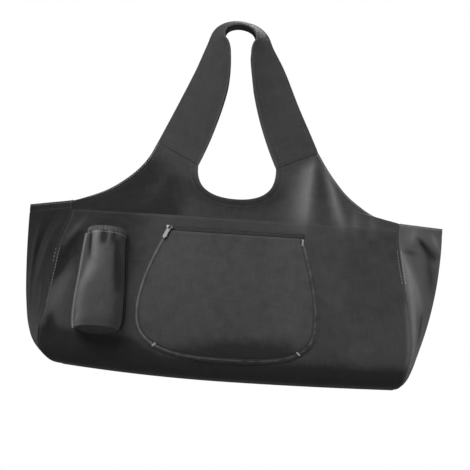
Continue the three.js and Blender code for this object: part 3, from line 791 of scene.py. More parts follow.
# Painted shade all over the base, as at the foot of the panels.
base_panel = sew_cloth("panel_base", base_grid(), CLOTH, panel_finish, low_shade(0))
put_on_bag(base_panel, "base_panel")


# Shoulder strap: a broad band of doubled cloth. It is folded along its crown where its ends are lapped over
# the yokes and opens flat at the top. Both of its long edges are turned under and stitched twice.
STRAP_CLOTH = 1.8
# How far out the crown is on the left and on the right, and its drop below the strap's top.
STRAP_EDGE = [
    (0, 0, 0), (32, 34, 6), (51, 55, 22), (63, 69, 52), (85, 94, 102), (121, 126, 176), (155, 157, 244)]
# Half the band's width, and how wide it is spread in degrees, at its joints and at its top.
STRAP_JOINT = (88, 11)
STRAP_TOP = (50, 80)
STRAP_GRID = (220, 84)
STRAP_LENGTH = 560
STRAP_HALF_WIDTH = 70
STRAP_WAVES = 45
STRAP_HEM = 13
STRAP_HEM_EXTRA = 0.7
HEM_GROOVE_WIDTH = 1.6
EDGE_ROWS = (3, 9)
EDGE_GROOVE = 0.6
EDGE_GROOVE_WIDTH = 1.2
STRAP_WEAR = 0.5
CROWN_WEAR_SHARE = 0.03
strap_finish = woven_finish("black_strap_cloth", (0.007, 0.007, 0.007), (0.086, 0.086, 0.087))


def lean(z):
    """How far the bag's middle has moved aside at a height, because its body hangs off centre."""
    return BODY_CENTRE_X * z / (BASE_Z + TOP_SEAM_HEIGHT)


def edge_points(rows, end):
    outs = [left if end < 0 else right for left, right, _ in rows]
    return np.array([(end * out, 0, STRAP_CLOTH - row[2]) for out, row in zip(outs, rows)], float)


def leaning(point):
    point[..., 0] += lean(point[..., 2])
    return point


def smooth_curve(points, at):
    """Places on a smooth curve through the points, from 0 at the first to 1 at the last."""
    points = np.asarray(points, float)
    through = np.vstack([2 * points[0] - points[1], points, 2 * points[-1] - points[-2]])
    place = np.clip(np.asarray(at, float), 0, 1) * (len(points) - 1)
    row = np.minimum(place.astype(int), len(points) - 2)
    t = (place - row)[..., None]
    a, b, c, d = (through[row + step] for step in range(4))
    before, here, after = (
        np.sqrt(np.linalg.norm(q - p, axis=-1, keepdims=True)) for p, q in ((a, b), (b, c), (c, d)))
    start = ((b - a) / before - (c - a) / (before + here) + (c - b) / here) * here
    finish = ((c - b) / here - (d - b) / (here + after) + (d - c) / after) * here
    return curve_between(b, start, c, finish, t)


strap_crown = np.vstack([edge_points(STRAP_EDGE[:0:-1], -1), edge_points(STRAP_EDGE, 1)])


def strap_point(along, share):
    """A point of the strap: along runs over its top from the left, share across its fold."""
    along, share = alike(along, share)
    tangent = unit(smooth_curve(strap_crown, along + 1e-4) - smooth_curve(strap_crown, along - 1e-4))
    inward = np.stack([tangent[..., 2], np.zeros_like(along), -tangent[..., 0]], -1)
    opened = smooth(1 - np.abs(2 * along - 1))
    wing = STRAP_JOINT[0] + (STRAP_TOP[0] - STRAP_JOINT[0]) * opened
    spread = STRAP_JOINT[1] + (STRAP_TOP[1] - STRAP_JOINT[1]) * opened
    return leaning(folded_band(smooth_curve(strap_crown, along), inward, spread, wing, share))


strap_along, strap_share = even_grid((0, 1), (-1, 1), STRAP_GRID)
strap_grid = strap_point(strap_along, strap_share)
strap_to_hem = (1 - np.abs(strap_share)) * STRAP_JOINT[0]
strap_waves = soft_noise(strap_along * STRAP_LENGTH, strap_share * STRAP_HALF_WIDTH, STRAP_WAVES, 61)
strap_to_crown = np.abs(strap_share) * STRAP_JOINT[0]
strap_grooves = -GROOVE * bell(strap_to_hem - STRAP_HEM, HEM_GROOVE_WIDTH)
for strap_row in EDGE_ROWS:
    strap_grooves -= EDGE_GROOVE * bell(strap_to_crown - strap_row, EDGE_GROOVE_WIDTH)
strap_grid += outward_of(strap_grid) * (strap_waves * (1 - strap_share ** 2) + strap_grooves)[..., None]
strap_worn = STRAP_WEAR * (bell(strap_to_hem, HEM_WEAR_WIDTH) + bell(strap_share, CROWN_WEAR_SHARE))
strap_thickness = STRAP_CLOTH + STRAP_HEM_EXTRA * (strap_to_hem < STRAP_HEM)
shoulder_strap = sew_cloth("strap_band", strap_grid, strap_thickness, strap_finish, strap_worn)
strap_face = face_of(strap_grid).swapaxes(0, 1)
strap_middle = STRAP_GRID[1] // 2
strap_rows = []
for strap_half, strap_hems, strap_crowns in (
    (strap_face[:, :strap_middle + 1], strap_to_hem.T, strap_to_crown.T),
    (strap_face[:, :strap_middle - 1:-1], strap_to_hem.T[:, ::-1], strap_to_crown.T[:, ::-1]),
):
    strap_rows += [
        line_at(strap_half, strap_hems[:, :strap_middle + 1], inset) for inset in (HEM_ROW, STRAP_HEM)]
    strap_rows += [
        line_at(strap_half[:, ::-1], strap_crowns[:, strap_middle::-1], inset) for inset in EDGE_ROWS]
# A row across each lapped end.
strap_rows += [strap_face[2], strap_face[-3]]
strap_stitches = sew_rows("stitches_strap", strap_rows, 62)
put_on_bag(shoulder_strap, "shoulder_strap")


# Yokes: two shaped pieces that carry the body from the strap. They are sewn to the panels along the level
# top seam and to each other along their outer edges. A turned hem runs round the opening.
CORNER_OPENING = 4
# Shares of the rim, from the strap round one side to the middle of the seam, at which the outer edge ends
# and the top seam starts.
YOKE_CORNER = 0.24
YOKE_SEAM = 0.27
# How far out the outer edge is on the left and on the right, and its drop below the strap's top.
YOKE_EDGE = [
    (155, 157, 244), (170, 174, 272), (189, 191, 296), (219, 213, 322), (252, 239, 343), (293, 268, 360)]
MOUTH_DROP = 346
MOUTH_HALF_DEPTH = 37
MOUTH_CONTROL = 62
MOUTH_SHOULDER = 34
MOUTH_FLARE = 3
MOUTH_BULGE = 5
YOKE_HEM = 13
EDGE_HOLD = 16
EDGE_FOLD = 0.5
EDGE_ROUNDING = 1.2
EDGE_ROUNDING_WIDTH = 1.5
EDGE_WEAR = 0.4
JOINT_HOLD = 28
JOINT_LAP = 1.2
JOINT_LAP_WIDTH = 3
EDGE_ROW_END = 0.87
# Columns along both sides' edges and along the seam, and rows.
YOKE_GRID = (96, 150, 72)
YOKE_CROWDING = 0.06
CORNER_COLUMNS = 6
PATH_STEP = 0.7


def distance_to(path, grid):
    """How far every point of a grid is from a path of points."""
    run = run_along(path)
    close = np.linspace(0, run[-1], int(run[-1] / PATH_STEP) + 2)
    path = np.stack([np.interp(close, run, column) for column in path.T], -1)
    nearest = [((spot - path) ** 2).sum(-1).min() for spot in grid.reshape(-1, path.shape[-1])]
    return np.sqrt(nearest).reshape(grid.shape[:-1])


def yoke_edge(end, share):
    """A yoke's outer edge, from the strap's joint to the corner above the gusset."""
    corner = gusset_point(end, 1, CORNER_HEIGHT[end])
    points = leaning(edge_points(YOKE_EDGE, end))
    points[0] = strap_point(0 if end < 0 else 1, 0)
    points = np.vstack([points, [corner[0], 0, corner[2]]])
    edge = smooth_curve(points, share)
    edge[..., 1] = CLOTH + (corner[1] - CLOTH) * share ** CORNER_OPENING
    return edge


def yoke_hem(end, share):
    """Half of the opening's hem, from the strap's joint down to the middle of the mouth."""
    joint = strap_point(0 if end < 0 else 1, 1)
    mouth_z = STRAP_CLOTH - MOUTH_DROP
    middle = np.array([lean(mouth_z), MOUTH_HALF_DEPTH, mouth_z])
    down = joint + np.array([end * MOUTH_FLARE, MOUTH_BULGE, -MOUTH_SHOULDER])
    across = middle + np.array([end * MOUTH_CONTROL, 0, 0])
    t = share[..., None]
    upper = (1 - t) ** 3 * joint + 3 * t * (1 - t) ** 2 * down
    return upper + 3 * t ** 2 * (1 - t) * across + t ** 3 * middle


def yoke_rim(side, along):
    rim = np.zeros((len(along), 3))
    for end in (-1, 1):
        from_end = along if end < 0 else 1 - along
        half = (along < 0.5) if end < 0 else (along >= 0.5)
        on_edge = yoke_edge(end, np.clip(from_end / YOKE_CORNER, 0, 1))
        share = np.clip(1 - (from_end - YOKE_SEAM) / (0.5 - YOKE_SEAM), 0, 1) * end
        on_seam = panel_point(side, share, TOP_SEAM_HEIGHT)
        on_seam[..., 1] = np.abs(on_seam[..., 1])
        step = np.clip((from_end - YOKE_CORNER) / (YOKE_SEAM - YOKE_CORNER), 0, 1)[:, None]
        rim[half] = (on_edge * (1 - step) + on_seam * step)[half]
    return rim


def rolled_edge(distance):
    """An edge that is turned under and stitched twice: rounded off, with two shallow grooves."""
    folded = EDGE_FOLD * (1 - fade(distance, EDGE_ROWS[1], 2))
    rounded = folded - EDGE_ROUNDING * bell(distance, EDGE_ROUNDING_WIDTH)
    return rounded - sum(EDGE_GROOVE * bell(distance - row, EDGE_GROOVE_WIDTH) for row in EDGE_ROWS)


def sew_yoke(name, side, relief_at, seam_seed, seed):
    arm, seam, rows = YOKE_GRID
    left = np.concatenate([
        np.linspace(0, YOKE_CORNER, arm + 1),
        np.linspace(YOKE_CORNER, YOKE_SEAM, CORNER_COLUMNS)[1:-1],
        np.linspace(YOKE_SEAM, 0.5, seam // 2 + 1),
    ])
    along = np.concatenate([left, 1 - left[-2::-1]])
    rim = yoke_rim(side, along)
    near_end = np.minimum(along, 1 - along)
    hem = np.where((along < 0.5)[:, None], yoke_hem(-1, near_end * 2), yoke_hem(1, near_end * 2))
    level = np.linspace(0, 1, rows + 1)
    level = (level - YOKE_CROWDING * np.sin(2 * np.pi * level))[:, None, None]
    grid = rim[None] * (1 - level) + hem[None] * level
    arms = near_end <= YOKE_CORNER
    to_edge = np.minimum(
        distance_to(rim[arms & (along < 0.5)], grid), distance_to(rim[arms & (along > 0.5)], grid))
    to_seam = distance_to(rim[~arms], grid)
    to_hem = distance_to(hem, grid)
    to_joint = np.minimum(distance_to(grid[:, 0], grid), distance_to(grid[:, -1], grid))
    corner = np.abs(rim[[arm, -arm - 1], 0] - BODY_CENTRE_X)
    share = (grid[..., 0] - BODY_CENTRE_X) / np.where(grid[..., 0] < BODY_CENTRE_X, *corner)
    held = seam_hold(np.minimum(np.abs(share), 1))
    held *= smooth(to_edge / EDGE_HOLD) * smooth(to_joint / JOINT_HOLD)
    grid[..., 1] += held * relief_at(grid[..., 0], grid[..., 2])
    grid[..., 1] *= side
    if side > 0:
        grid, to_edge, to_seam, to_hem, to_joint = (
            v[:, ::-1] for v in (grid, to_edge, to_seam, to_hem, to_joint))
    relief = rolled_edge(to_edge) + seam_relief(to_seam, grid[..., 0], seam_seed)
    relief -= GROOVE * bell(to_hem - YOKE_HEM, HEM_GROOVE_WIDTH)
    relief -= JOINT_LAP * bell(to_joint, JOINT_LAP_WIDTH)
    grid = grid + outward_of(grid) * relief[..., None]
    worn_lit_and_shaded = EDGE_WEAR * bell(to_edge, SEAM_WEAR_WIDTH) + HEM_WEAR * bell(to_hem, HEM_WEAR_WIDTH)
    worn_lit_and_shaded += 0.15 * bell(to_seam, SEAM_WEAR_WIDTH)
    if side < 0:
        # The folds of the front one get painted highlight and shade, partly rubbing; painted shadow darkens
        # its left half and the cloth above the mouth.
        x, z = grid[..., 0], grid[..., 2]
        folded = fold_relief(FRONT_FOLDS, x, z)
        worn_lit_and_shaded += fold_light_and_wear(folded, height=5, dark=-0.1, light=2.2) * smooth(to_joint / JOINT_HOLD)
        worn_lit_and_shaded -= 0.75 * fade(-x, 60, 60) * smooth(to_joint / 60)
        worn_lit_and_shaded -= 0.5 * bell(to_hem, 30) * fade(-z, 290, 50)
    thickness = CLOTH + HEM_EXTRA * (to_hem < YOKE_HEM)
    piece = sew_cloth(name, grid, thickness, panel_finish, worn_lit_and_shaded, grid[..., [0, 2]] * MM)
    face = face_of(grid).swapaxes(0, 1)
    at_hem = [line_at(face[:, ::-1], to_hem.T[:, ::-1], inset) for inset in (HEM_ROW, YOKE_HEM)]
    sewn = int(arm * EDGE_ROW_END)
    ends = (slice(0, sewn), slice(-sewn, None))
    at_edge = [[line_at(face[end], to_edge.T[end], inset) for end in ends] for inset in EDGE_ROWS]
    stitches = [
        sew_rows("stitches_" + name, at_hem + at_edge[1], seed + 1),
        sew_rows("edge_stitches_" + name, at_edge[0], seed + 2, finish=grey_thread),
    ]
    return piece, stitches


yokes = {
    "yoke_front": sew_yoke("yoke_of_front", -1, front_relief, seam_seed=22, seed=71),
    "yoke_back": sew_yoke("yoke_of_back", 1, back_relief, seam_seed=34, seed=75),
}
for node, (yoke, yoke_stitches) in yokes.items():
    put_on_bag(yoke, node)


# Zipped pocket: a rounded patch of slightly lighter cloth with its edges turned under. Two rows of
# stitching hold it to the front panel along its sides and foot, and a zip closes its top.
POCKET_CLOTH = 1.4
LAY_GAP = 0.7
POCKET_TOP_Z = -412
POCKET_TOP_HALF = 135
POCKET_WIDE_Z = -562
POCKET_WIDE_HALF = 176.5
POCKET_FOOT_Z = -657
POCKET_SIDE_CURVE = 1.58
POCKET_SQUARENESS = 2.9
POCKET_LEAN = -7
POCKET_SWELL = 5
POCKET_SWELL_REACH = 26
POCKET_UNDULATION = 0.9
POCKET_WAVES = 48
POCKET_ROWS = (3, 10)
POCKET_ROW_WIDTH = 1.3
POCKET_RIM = 6.5
POCKET_RIM_WIDTH = 2.2
POCKET_EDGE_WIDTH = 1.6
TOP_ROW_INSET = 4
TACK_INSET = 4.5
# A bar's start and end: below the pocket's top, and in from its side and up at the lower corners.
TACK_SPAN = (13, 2)
LOW_TACK_SPAN = (2, 8)
LOW_TACK_Z = -635
# Pitch, length, width and height of a satin bar's threads.
TACK_STITCH = (0.75, 0.7, 4.2, 0.9)
POCKET_GRID = (190, 150)
POCKET_CROWDING = 1.42
pocket_finish = woven_finish("black_pocket_cloth", (0.008, 0.008, 0.008), (0.113, 0.113, 0.114))


def front_at(x, z):
    """The front panel's outer face at places seen from the front, found in a few rounds."""
    x, z = alike(x, z)
    end = np.where(x < BODY_CENTRE_X, -1, 1)
    height = z - BASE_Z
    for _ in range(5):
        corner = gusset_point(end, -1, height)
        share = (x - BODY_CENTRE_X) / np.abs(corner[..., 0] - BODY_CENTRE_X)
        height = z - BASE_Z - end_lift(share, height)
    return front_point(share, height)


def pocket_span(z):
    """The pocket's middle and half its width at a height, seen from the front."""
    upper = z > POCKET_WIDE_Z
    reach = np.where(upper, POCKET_TOP_Z, POCKET_FOOT_Z) - POCKET_WIDE_Z
    share = np.clip((z - POCKET_WIDE_Z) / reach, 0, 1)
    side = POCKET_WIDE_HALF - (POCKET_WIDE_HALF - POCKET_TOP_HALF) * share ** POCKET_SIDE_CURVE
    rounded = POCKET_WIDE_HALF * (1 - share ** POCKET_SQUARENESS) ** (1 / POCKET_SQUARENESS)
    return BODY_CENTRE_X + POCKET_LEAN * (1 - share ** 2), np.where(upper, side, rounded)


def pocket_outline(inset):
    """The pocket's sides and foot seen from the front, from its upper left corner to its upper right."""
    side = np.linspace(POCKET_TOP_Z, POCKET_WIDE_Z, 60)[:-1]
    turn = np.linspace(0, np.pi / 2, 160)
    foot = POCKET_WIDE_Z + (POCKET_FOOT_Z - POCKET_WIDE_Z) * np.sin(turn) ** (2 / POCKET_SQUARENESS)
    z = np.concatenate([side, foot])
    middle, half = pocket_span(z)
    left = np.stack([middle - half, z], -1)
    right = np.stack([middle + half, z], -1)
    path = np.concatenate([left, right[-2::-1]])
    heading = unit(np.gradient(path, axis=0))
    return path + inset * np.stack([-heading[:, 1], heading[:, 0]], -1)


pocket_path = pocket_outline(0)


def pocket_face(x, z):
    """The pocket's outer face at places seen from the front, and how far they are from its edge."""
    x, z = alike(x, z)
    to_edge = distance_to(pocket_path, np.stack([x, z], -1))
    to_top = POCKET_TOP_Z - z
    swell = POCKET_SWELL * (1 - np.exp(-(to_edge / POCKET_SWELL_REACH) ** 1.2))
    swell *= 0.35 + 0.65 * smooth(to_top / 60)
    rolled = -1.1 * bell(to_edge, POCKET_EDGE_WIDTH) - 0.8 * bell(to_top, POCKET_EDGE_WIDTH)
    rows = sum(-0.9 * bell(to_edge - inset, POCKET_ROW_WIDTH) for inset in POCKET_ROWS)
    pucker = 0.5 * bell(to_edge, 16) * soft_noise(x * 0.8 + z, to_edge * 0.2, 8, 81)
    waves = POCKET_UNDULATION * soft_noise(x, z * 0.7, POCKET_WAVES, 82) * smooth(to_edge / 30)
    face = front_at(x, z)
    face[..., 1] -= LAY_GAP + POCKET_CLOTH + swell + rolled + rows + pucker + waves
    return face, to_edge, to_top


pocket_u = np.sin(np.linspace(-1, 1, POCKET_GRID[0] + 1) * POCKET_CROWDING) / math.sin(POCKET_CROWDING)
pocket_v = (1 - np.cos(np.linspace(0.02, np.pi, POCKET_GRID[1] + 1))) / 2
pocket_u, pocket_v = np.meshgrid(pocket_u, pocket_v)
pocket_z = POCKET_FOOT_Z + (POCKET_TOP_Z - POCKET_FOOT_Z) * pocket_v
pocket_middle, pocket_half = pocket_span(pocket_z)
pocket_grid, pocket_to_edge, pocket_to_top = pocket_face(pocket_middle + pocket_u * pocket_half, pocket_z)
pocket_x = pocket_grid[..., 0]
# The rim between the rows of stitching is lighter, more at the left.
pocket_rim_tone = 0.6 - 0.0024 * (pocket_x - BODY_CENTRE_X)
pocket_rim_tone += 0.5 * soft_noise(pocket_x, pocket_grid[..., 2], 7, 85)
pocket_rim = bell(pocket_to_edge - POCKET_RIM, POCKET_RIM_WIDTH)
pocket_wear_and_shade = pocket_rim_tone * pocket_rim
pocket_wear_and_shade += 0.25 * bell(pocket_to_top, 3)
# Painted shade in the grooves of the rows of stitching.
for pocket_row in POCKET_ROWS:
    pocket_wear_and_shade -= 0.6 * bell(pocket_to_edge - pocket_row, POCKET_ROW_WIDTH)
# Painted shade at the foot ends lower at the left than at the right of the middle, and unevenly.
pocket_lit = 8 + 12 * fade(-pocket_x, 20, 80)
pocket_lit -= 17 * bell(pocket_x - 82, 72)
pocket_lit += 6 * soft_noise(pocket_x, pocket_grid[..., 2], 26, 88)
pocket_wear_and_shade += 0.58 * low_shade(pocket_z - POCKET_FOOT_Z + pocket_lit) * (1 - 0.6 * pocket_rim)
front_pocket = sew_cloth("pocket_zipped", pocket_grid, POCKET_CLOTH, pocket_finish, pocket_wear_and_shade,
                         pocket_grid[..., [0, 2]] * MM)


def face_along(face_at, path):
    """Points and outward directions of a face along a path that is seen from the front."""
    steps = ((0, 0), (0.5, 0), (0, 0.5))
    spot, right, above = (face_at(path[:, 0] + dx, path[:, 1] + dz) for dx, dz in steps)
    return np.concatenate([spot, unit(np.cross(right - spot, above - spot))], -1)


def on_pocket(x, z):
    return pocket_face(x, z)[0]


pocket_rows = [face_along(on_pocket, pocket_outline(inset)[2:-2]) for inset in POCKET_ROWS]
top_row_half = POCKET_TOP_HALF - TOP_ROW_INSET
top_row_x = np.linspace(-top_row_half, top_row_half, 160) + BODY_CENTRE_X
top_row_z = np.full_like(top_row_x, POCKET_TOP_Z - POCKET_ROWS[0])
pocket_rows.append(face_along(on_pocket, np.stack([top_row_x, top_row_z], -1)))
pocket_stitches = sew_rows("stitches_pocket", pocket_rows, 83)
# A close satin bar strengthens each upper corner, and one crosses the rim at each lower corner.
tack_rows = []
tack_step = np.linspace(0, 1, 24)[:, None]
tack_middle, tack_half = pocket_span(np.array([LOW_TACK_Z]))
for tack_side in (-1, 1):
    high_x = BODY_CENTRE_X + tack_side * (POCKET_TOP_HALF - TACK_INSET)
    low_x = tack_middle[0] + tack_side * tack_half[0]
    high_bar = [(high_x, POCKET_TOP_Z - drop) for drop in TACK_SPAN]
    low_bar = [(low_x - tack_side * step, LOW_TACK_Z + step) for step in LOW_TACK_SPAN]
    for tack_from, tack_to in (high_bar, low_bar):
        tack_path = np.array(tack_from) * (1 - tack_step) + np.array(tack_to) * tack_step
        tack_rows.append(face_along(on_pocket, tack_path))
pocket_tacks = sew_rows("tacks_pocket", tack_rows, 84, TACK_STITCH, grey_thread, lift=0.5)
put_on_bag(front_pocket, "front_pocket")


# Zip: a narrow tape with two rows of small moulded teeth, sewn between the pocket's top edge and the
# front panel.
ZIP_HEIGHT = 8
ZIP_THICKNESS = 1.6
ZIP_END_INSET = 3
ZIP_GRID = (200, 16)
TAPE_CLOTH = 1.0
TAPE_ROWS = (0.9, 7.1)
# Pitch, length, width and height of a tooth, and how far its row is from the middle of the tape.
TOOTH = (1.5, 1.0, 2.0, 1.2)
TOOTH_OFFSET = 0.7
ZIP_LOW_Z = POCKET_TOP_Z + LAY_GAP
tape_finish = woven_finish("black_zip_tape", (0.006, 0.006, 0.006), (0.028, 0.028, 0.028), weave=0.0007)


def teeth_finish():
    material, wire = new_finish("black_zip_teeth")
    place = wire.node("ShaderNodeTexCoord", output="Object")
    rubbed = place.noise(scale=220, detail=3)
    colour = blend_colours(wire, rubbed, (0.01, 0.01, 0.01), (0.05, 0.05, 0.05))
    close_finish(wire, {"Base Color": colour, "Roughness": 0.2 + rubbed * 0.3})
    return material


def on_zip(x, z):
    face = front_at(x, z)
    lip = bell(z - ZIP_LOW_Z - ZIP_HEIGHT / 2, 2.2)
    face[..., 1] -= LAY_GAP + ZIP_THICKNESS - 0.5 * lip
    return face


zip_half = POCKET_TOP_HALF - ZIP_END_INSET
zip_ends = (BODY_CENTRE_X - zip_half, BODY_CENTRE_X + zip_half)
zip_x, zip_z = even_grid(zip_ends, (ZIP_LOW_Z, ZIP_LOW_Z + ZIP_HEIGHT), ZIP_GRID)


def zip_path(rise, shift=0.0):
    """A path along the tape, at a height above its lower edge."""
    return face_along(on_zip, np.stack([zip_x[0] + shift, zip_z[0] + rise], -1))


zip_tape = sew_cloth("zip_tape_strip", on_zip(zip_x, zip_z), TAPE_CLOTH, tape_finish)
tooth_paths = [
    zip_path(ZIP_HEIGHT / 2 - TOOTH_OFFSET)[:-1],
    zip_path(ZIP_HEIGHT / 2 + TOOTH_OFFSET, shift=TOOTH[0] / 2)[:-1],
]
zip_teeth = sew_rows("zip_teeth", tooth_paths, 86, TOOTH, teeth_finish(), lift=0.3)
zip_stitches = sew_rows("stitches_zip", [zip_path(rise) for rise in TAPE_ROWS], 87)
put_on_bag(zip_tape, "pocket_zip")


# Zip slider: die-cast metal with a satin nickel finish. Two plates are joined by a narrower waist that the
# teeth run round, and a bail stands on the upper plate.
SLIDER_LENGTH = 13
SLIDER_WIDTH = 9
SLIDER_HEIGHT = 4
SLIDER_TAPER = 0.18
SLIDER_SIDES = 40
# Height above the zip and how far the outline is drawn in there.
SLIDER_RINGS = [(0, 0.5), (0.4, 0), (1.2, 0), (1.5, 1.3), (2.3, 1.3), (2.6, 0), (3.5, 0), (4.0, 0.7)]
PULL_LEAN = 24
BAIL_HALF = 3.2
BAIL_RISE = 5.2
BAIL_SUNK = 0.4
BAIL_WIRE = 0.75
slider_x = BODY_CENTRE_X - zip_half + SLIDER_LENGTH / 2
slider_z = ZIP_LOW_Z + ZIP_HEIGHT / 2
on_tape = 2 * LAY_GAP + ZIP_THICKNESS


def metal_finish():
    material, wire = new_finish("satin_nickel")
    place = wire.node("ShaderNodeTexCoord", output="Object")
    run = wire.node("ShaderNodeMapping", inputs={"Vector": place, "Scale": (300, 300, 2500)})
    brush = run.noise(scale=1, detail=3)
    patch = place.noise(scale=180, detail=2)
    tone = brush * 0.5 + patch * 0.5
    close_finish(wire, {
        "Base Color": blend_colours(wire, tone, (0.05, 0.05, 0.05), (0.16, 0.16, 0.155)),
        "Metallic": 1.0,
        "Roughness": 0.35 + brush * 0.15 + patch * 0.12,
    })
    return material


def rounded_outline(half_width, half_length, power, sides):
    turn = np.linspace(0, 2 * np.pi, sides, endpoint=False)
    across, along = np.cos(turn), np.sin(turn)
    x = half_width * np.sign(across) * np.abs(across) ** (2 / power)
    y = half_length * np.sign(along) * np.abs(along) ** (2 / power)
    return np.stack([x, y], -1)


def lay_on_front(points, x, z, turn):
    """Points given by right, up and out, turned and laid on the front panel at (x, z)."""
    reach = 8
    rise = front_at(x, z + reach) - front_at(x, z - reach)
    right = unit(front_at(x + reach, z) - front_at(x - reach, z))
    outward = unit(np.cross(right, rise))
    angle = math.radians(turn)
    across = points[..., 0] * math.cos(angle) - points[..., 1] * math.sin(angle)
    up = points[..., 0] * math.sin(angle) + points[..., 1] * math.cos(angle)
    axes = np.stack([right, np.cross(outward, right), outward])
    return front_at(x, z) + np.stack([across, up, points[..., 2]], -1) @ axes


def cast_metal(name, parts, finish):
    """Metal from rings of points: each part is its rings, and whether the last joins the first."""
    spots = []
    faces = []
    for rings, joined in parts:
        count, sides, _ = rings.shape
        number = np.arange(count * sides).reshape(count, sides) + sum(len(spot) for spot in spots)
        low = number if joined else number[:-1]
        high = np.roll(number, -1, 0) if joined else number[1:]
        quads = np.stack([low, np.roll(low, -1, 1), np.roll(high, -1, 1), high], -1)
        faces += quads.reshape(-1, 4).tolist()
        if not joined:
            faces += [number[0][::-1].tolist(), number[-1].tolist()]
        spots.append(rings.reshape(-1, 3))
    mesh = bpy.data.meshes.new(name)
    mesh.from_pydata((np.concatenate(spots) * MM).tolist(), [], faces)
    mesh.shade_smooth()
    mesh.set_sharp_from_angle(angle=math.radians(40))
    mesh.materials.append(finish)
    return add_object(name, mesh)


def slider_rings():
    rings = []
    for height, inset in SLIDER_RINGS:
        outline = rounded_outline(SLIDER_LENGTH / 2 - inset, SLIDER_WIDTH / 2 - inset, 4, SLIDER_SIDES)
        outline[:, 1] *= 1 - SLIDER_TAPER * (1 + outline[:, 0] / SLIDER_LENGTH * 2) / 2
        rings.append(np.column_stack([outline, np.full(SLIDER_SIDES, on_tape + height)]))
    return np.array(rings)


def bail_rings():
    """A round wire bent into a half loop, with both of its feet sunk in the upper plate."""
    rings = []
    foot = on_tape + SLIDER_HEIGHT - BAIL_SUNK
    around = np.linspace(0, 2 * np.pi, 10, endpoint=False)
    for turn in np.linspace(0, np.pi, 15):
        middle = np.array([0, BAIL_HALF * math.cos(turn), foot + BAIL_RISE * math.sin(turn)])
        radial = np.array([0, math.cos(turn), math.sin(turn)])
        ring = np.outer(np.cos(around), [1, 0, 0]) + np.outer(np.sin(around), radial)
        rings.append(middle + BAIL_WIRE * ring)
    return np.array(rings)


nickel = metal_finish()
slider_parts = [
    (lay_on_front(slider_rings(), slider_x, slider_z, 0), False),
    (lay_on_front(bail_rings(), slider_x, slider_z, -PULL_LEAN), False),
]
zip_slider = cast_metal("zip_slider_body", slider_parts, nickel)
put_on_bag(zip_slider, "zip_slider")


# Zip pull: a flat tab of the same metal. The slider's bail passes through the hole at its upper end, and it
# hangs down to the left.
PULL_WIDTH = 7
PULL_LENGTH = 26
PULL_THICKNESS = 1.6
PULL_HOOK = 5
PULL_GAP = 0.3
PULL_HOLE = (0, 9.3)
PULL_HOLE_RADIUS = 1.9
PULL_BEVEL = 0.4
PULL_SIDES = 56


def pull_rings():
    standing = on_tape + SLIDER_HEIGHT + PULL_GAP
    outer, inner = (
        rounded_outline(PULL_WIDTH / 2 - inset, PULL_LENGTH / 2 - inset, 5, PULL_SIDES)
        for inset in (0, PULL_BEVEL))
    spokes = unit(outer - np.array(PULL_HOLE))
    hole = np.array(PULL_HOLE) + PULL_HOLE_RADIUS * spokes
    mouth = hole + PULL_BEVEL * spokes
    top = PULL_THICKNESS
    loops = (
        (inner, 0), (outer, PULL_BEVEL), (outer, top - PULL_BEVEL), (inner, top),
        (mouth, top), (hole, top - PULL_BEVEL), (hole, PULL_BEVEL), (mouth, 0),
    )
    return np.array([
        np.column_stack([loop, np.full(PULL_SIDES, standing + height)]) for loop, height in loops])


pull_reach = SLIDER_WIDTH / 2 + PULL_LENGTH / 2 - PULL_HOOK
pull_x = slider_x - pull_reach * math.sin(math.radians(PULL_LEAN))
pull_z = slider_z - pull_reach * math.cos(math.radians(PULL_LEAN))
pull_tab = lay_on_front(pull_rings(), pull_x, pull_z, -PULL_LEAN)
zip_pull = cast_metal("zip_pull_tab", [(pull_tab, True)], nickel)
put_on_bag(zip_pull, "zip_pull")


# Bottle pocket: a band of the lighter cloth, bulged as it is in use. Both of its sides are turned outward
# and stitched flat to the front panel.
BOTTLE_X = -230
BOTTLE_FOOT_Z = -608
BOTTLE_FRONT_RISE = 10
BOTTLE_HEIGHT = 187
# Height above the foot, half the width, depth in front of the panel, and shift to the right.
BOTTLE_SECTIONS = [
    (0, 42, 56, -2),
    (14, 45, 62, -1),
    (45, 45.5, 65, 0),
    (100, 42, 65, 2),
    (150, 38.5, 62, 3),
    (187, 36, 57, 4),
]
BOTTLE_ROUNDNESS = 2.5
GATHER_COUNT = 9
GATHER_HEIGHT = 1.2
GATHER_REACH = 30
BOTTLE_WALL = 160
# Folds as before, by the way round the wall from its left side and by height above the foot. The elastic
# draws most of them in.
BOTTLE_FOLDS = [
    (36, 182, 53, 116, 7.5, -8, 0),
    (60, 184, 66, 120, 9, 5, 0.2),
    (64, 124, 34, 55, 15, 3, 0),
    (77, 180, 79, 148, 8, -6, 0),
    (90, 180, 85, 146, 4, 3, 0),
    (101, 180, 104, 150, 7, -4, 0),
    (114, 156, 126, 60, 11, -7, 0),
    (10, 6, 34, 36, 5, -3, 0),
    (20, 2, 46, 22, 6, 2, 0),
]
ELASTIC_HEIGHT = 8
BOTTLE_GRID = (200, 100)
BOTTLE_UNDULATION = 0.9
BOTTLE_WAVES = 34
# How far the lines of a margin are from the pocket's side, and the place of its row of stitches.
MARGIN_LINES = (5.5, 5, 4, 3, 2, 1)
MARGIN_ROW = 3
# Painted light on the left margin and painted shade on the right one.
MARGIN_LIGHT_AND_SHADE = (1.5, -0.7)


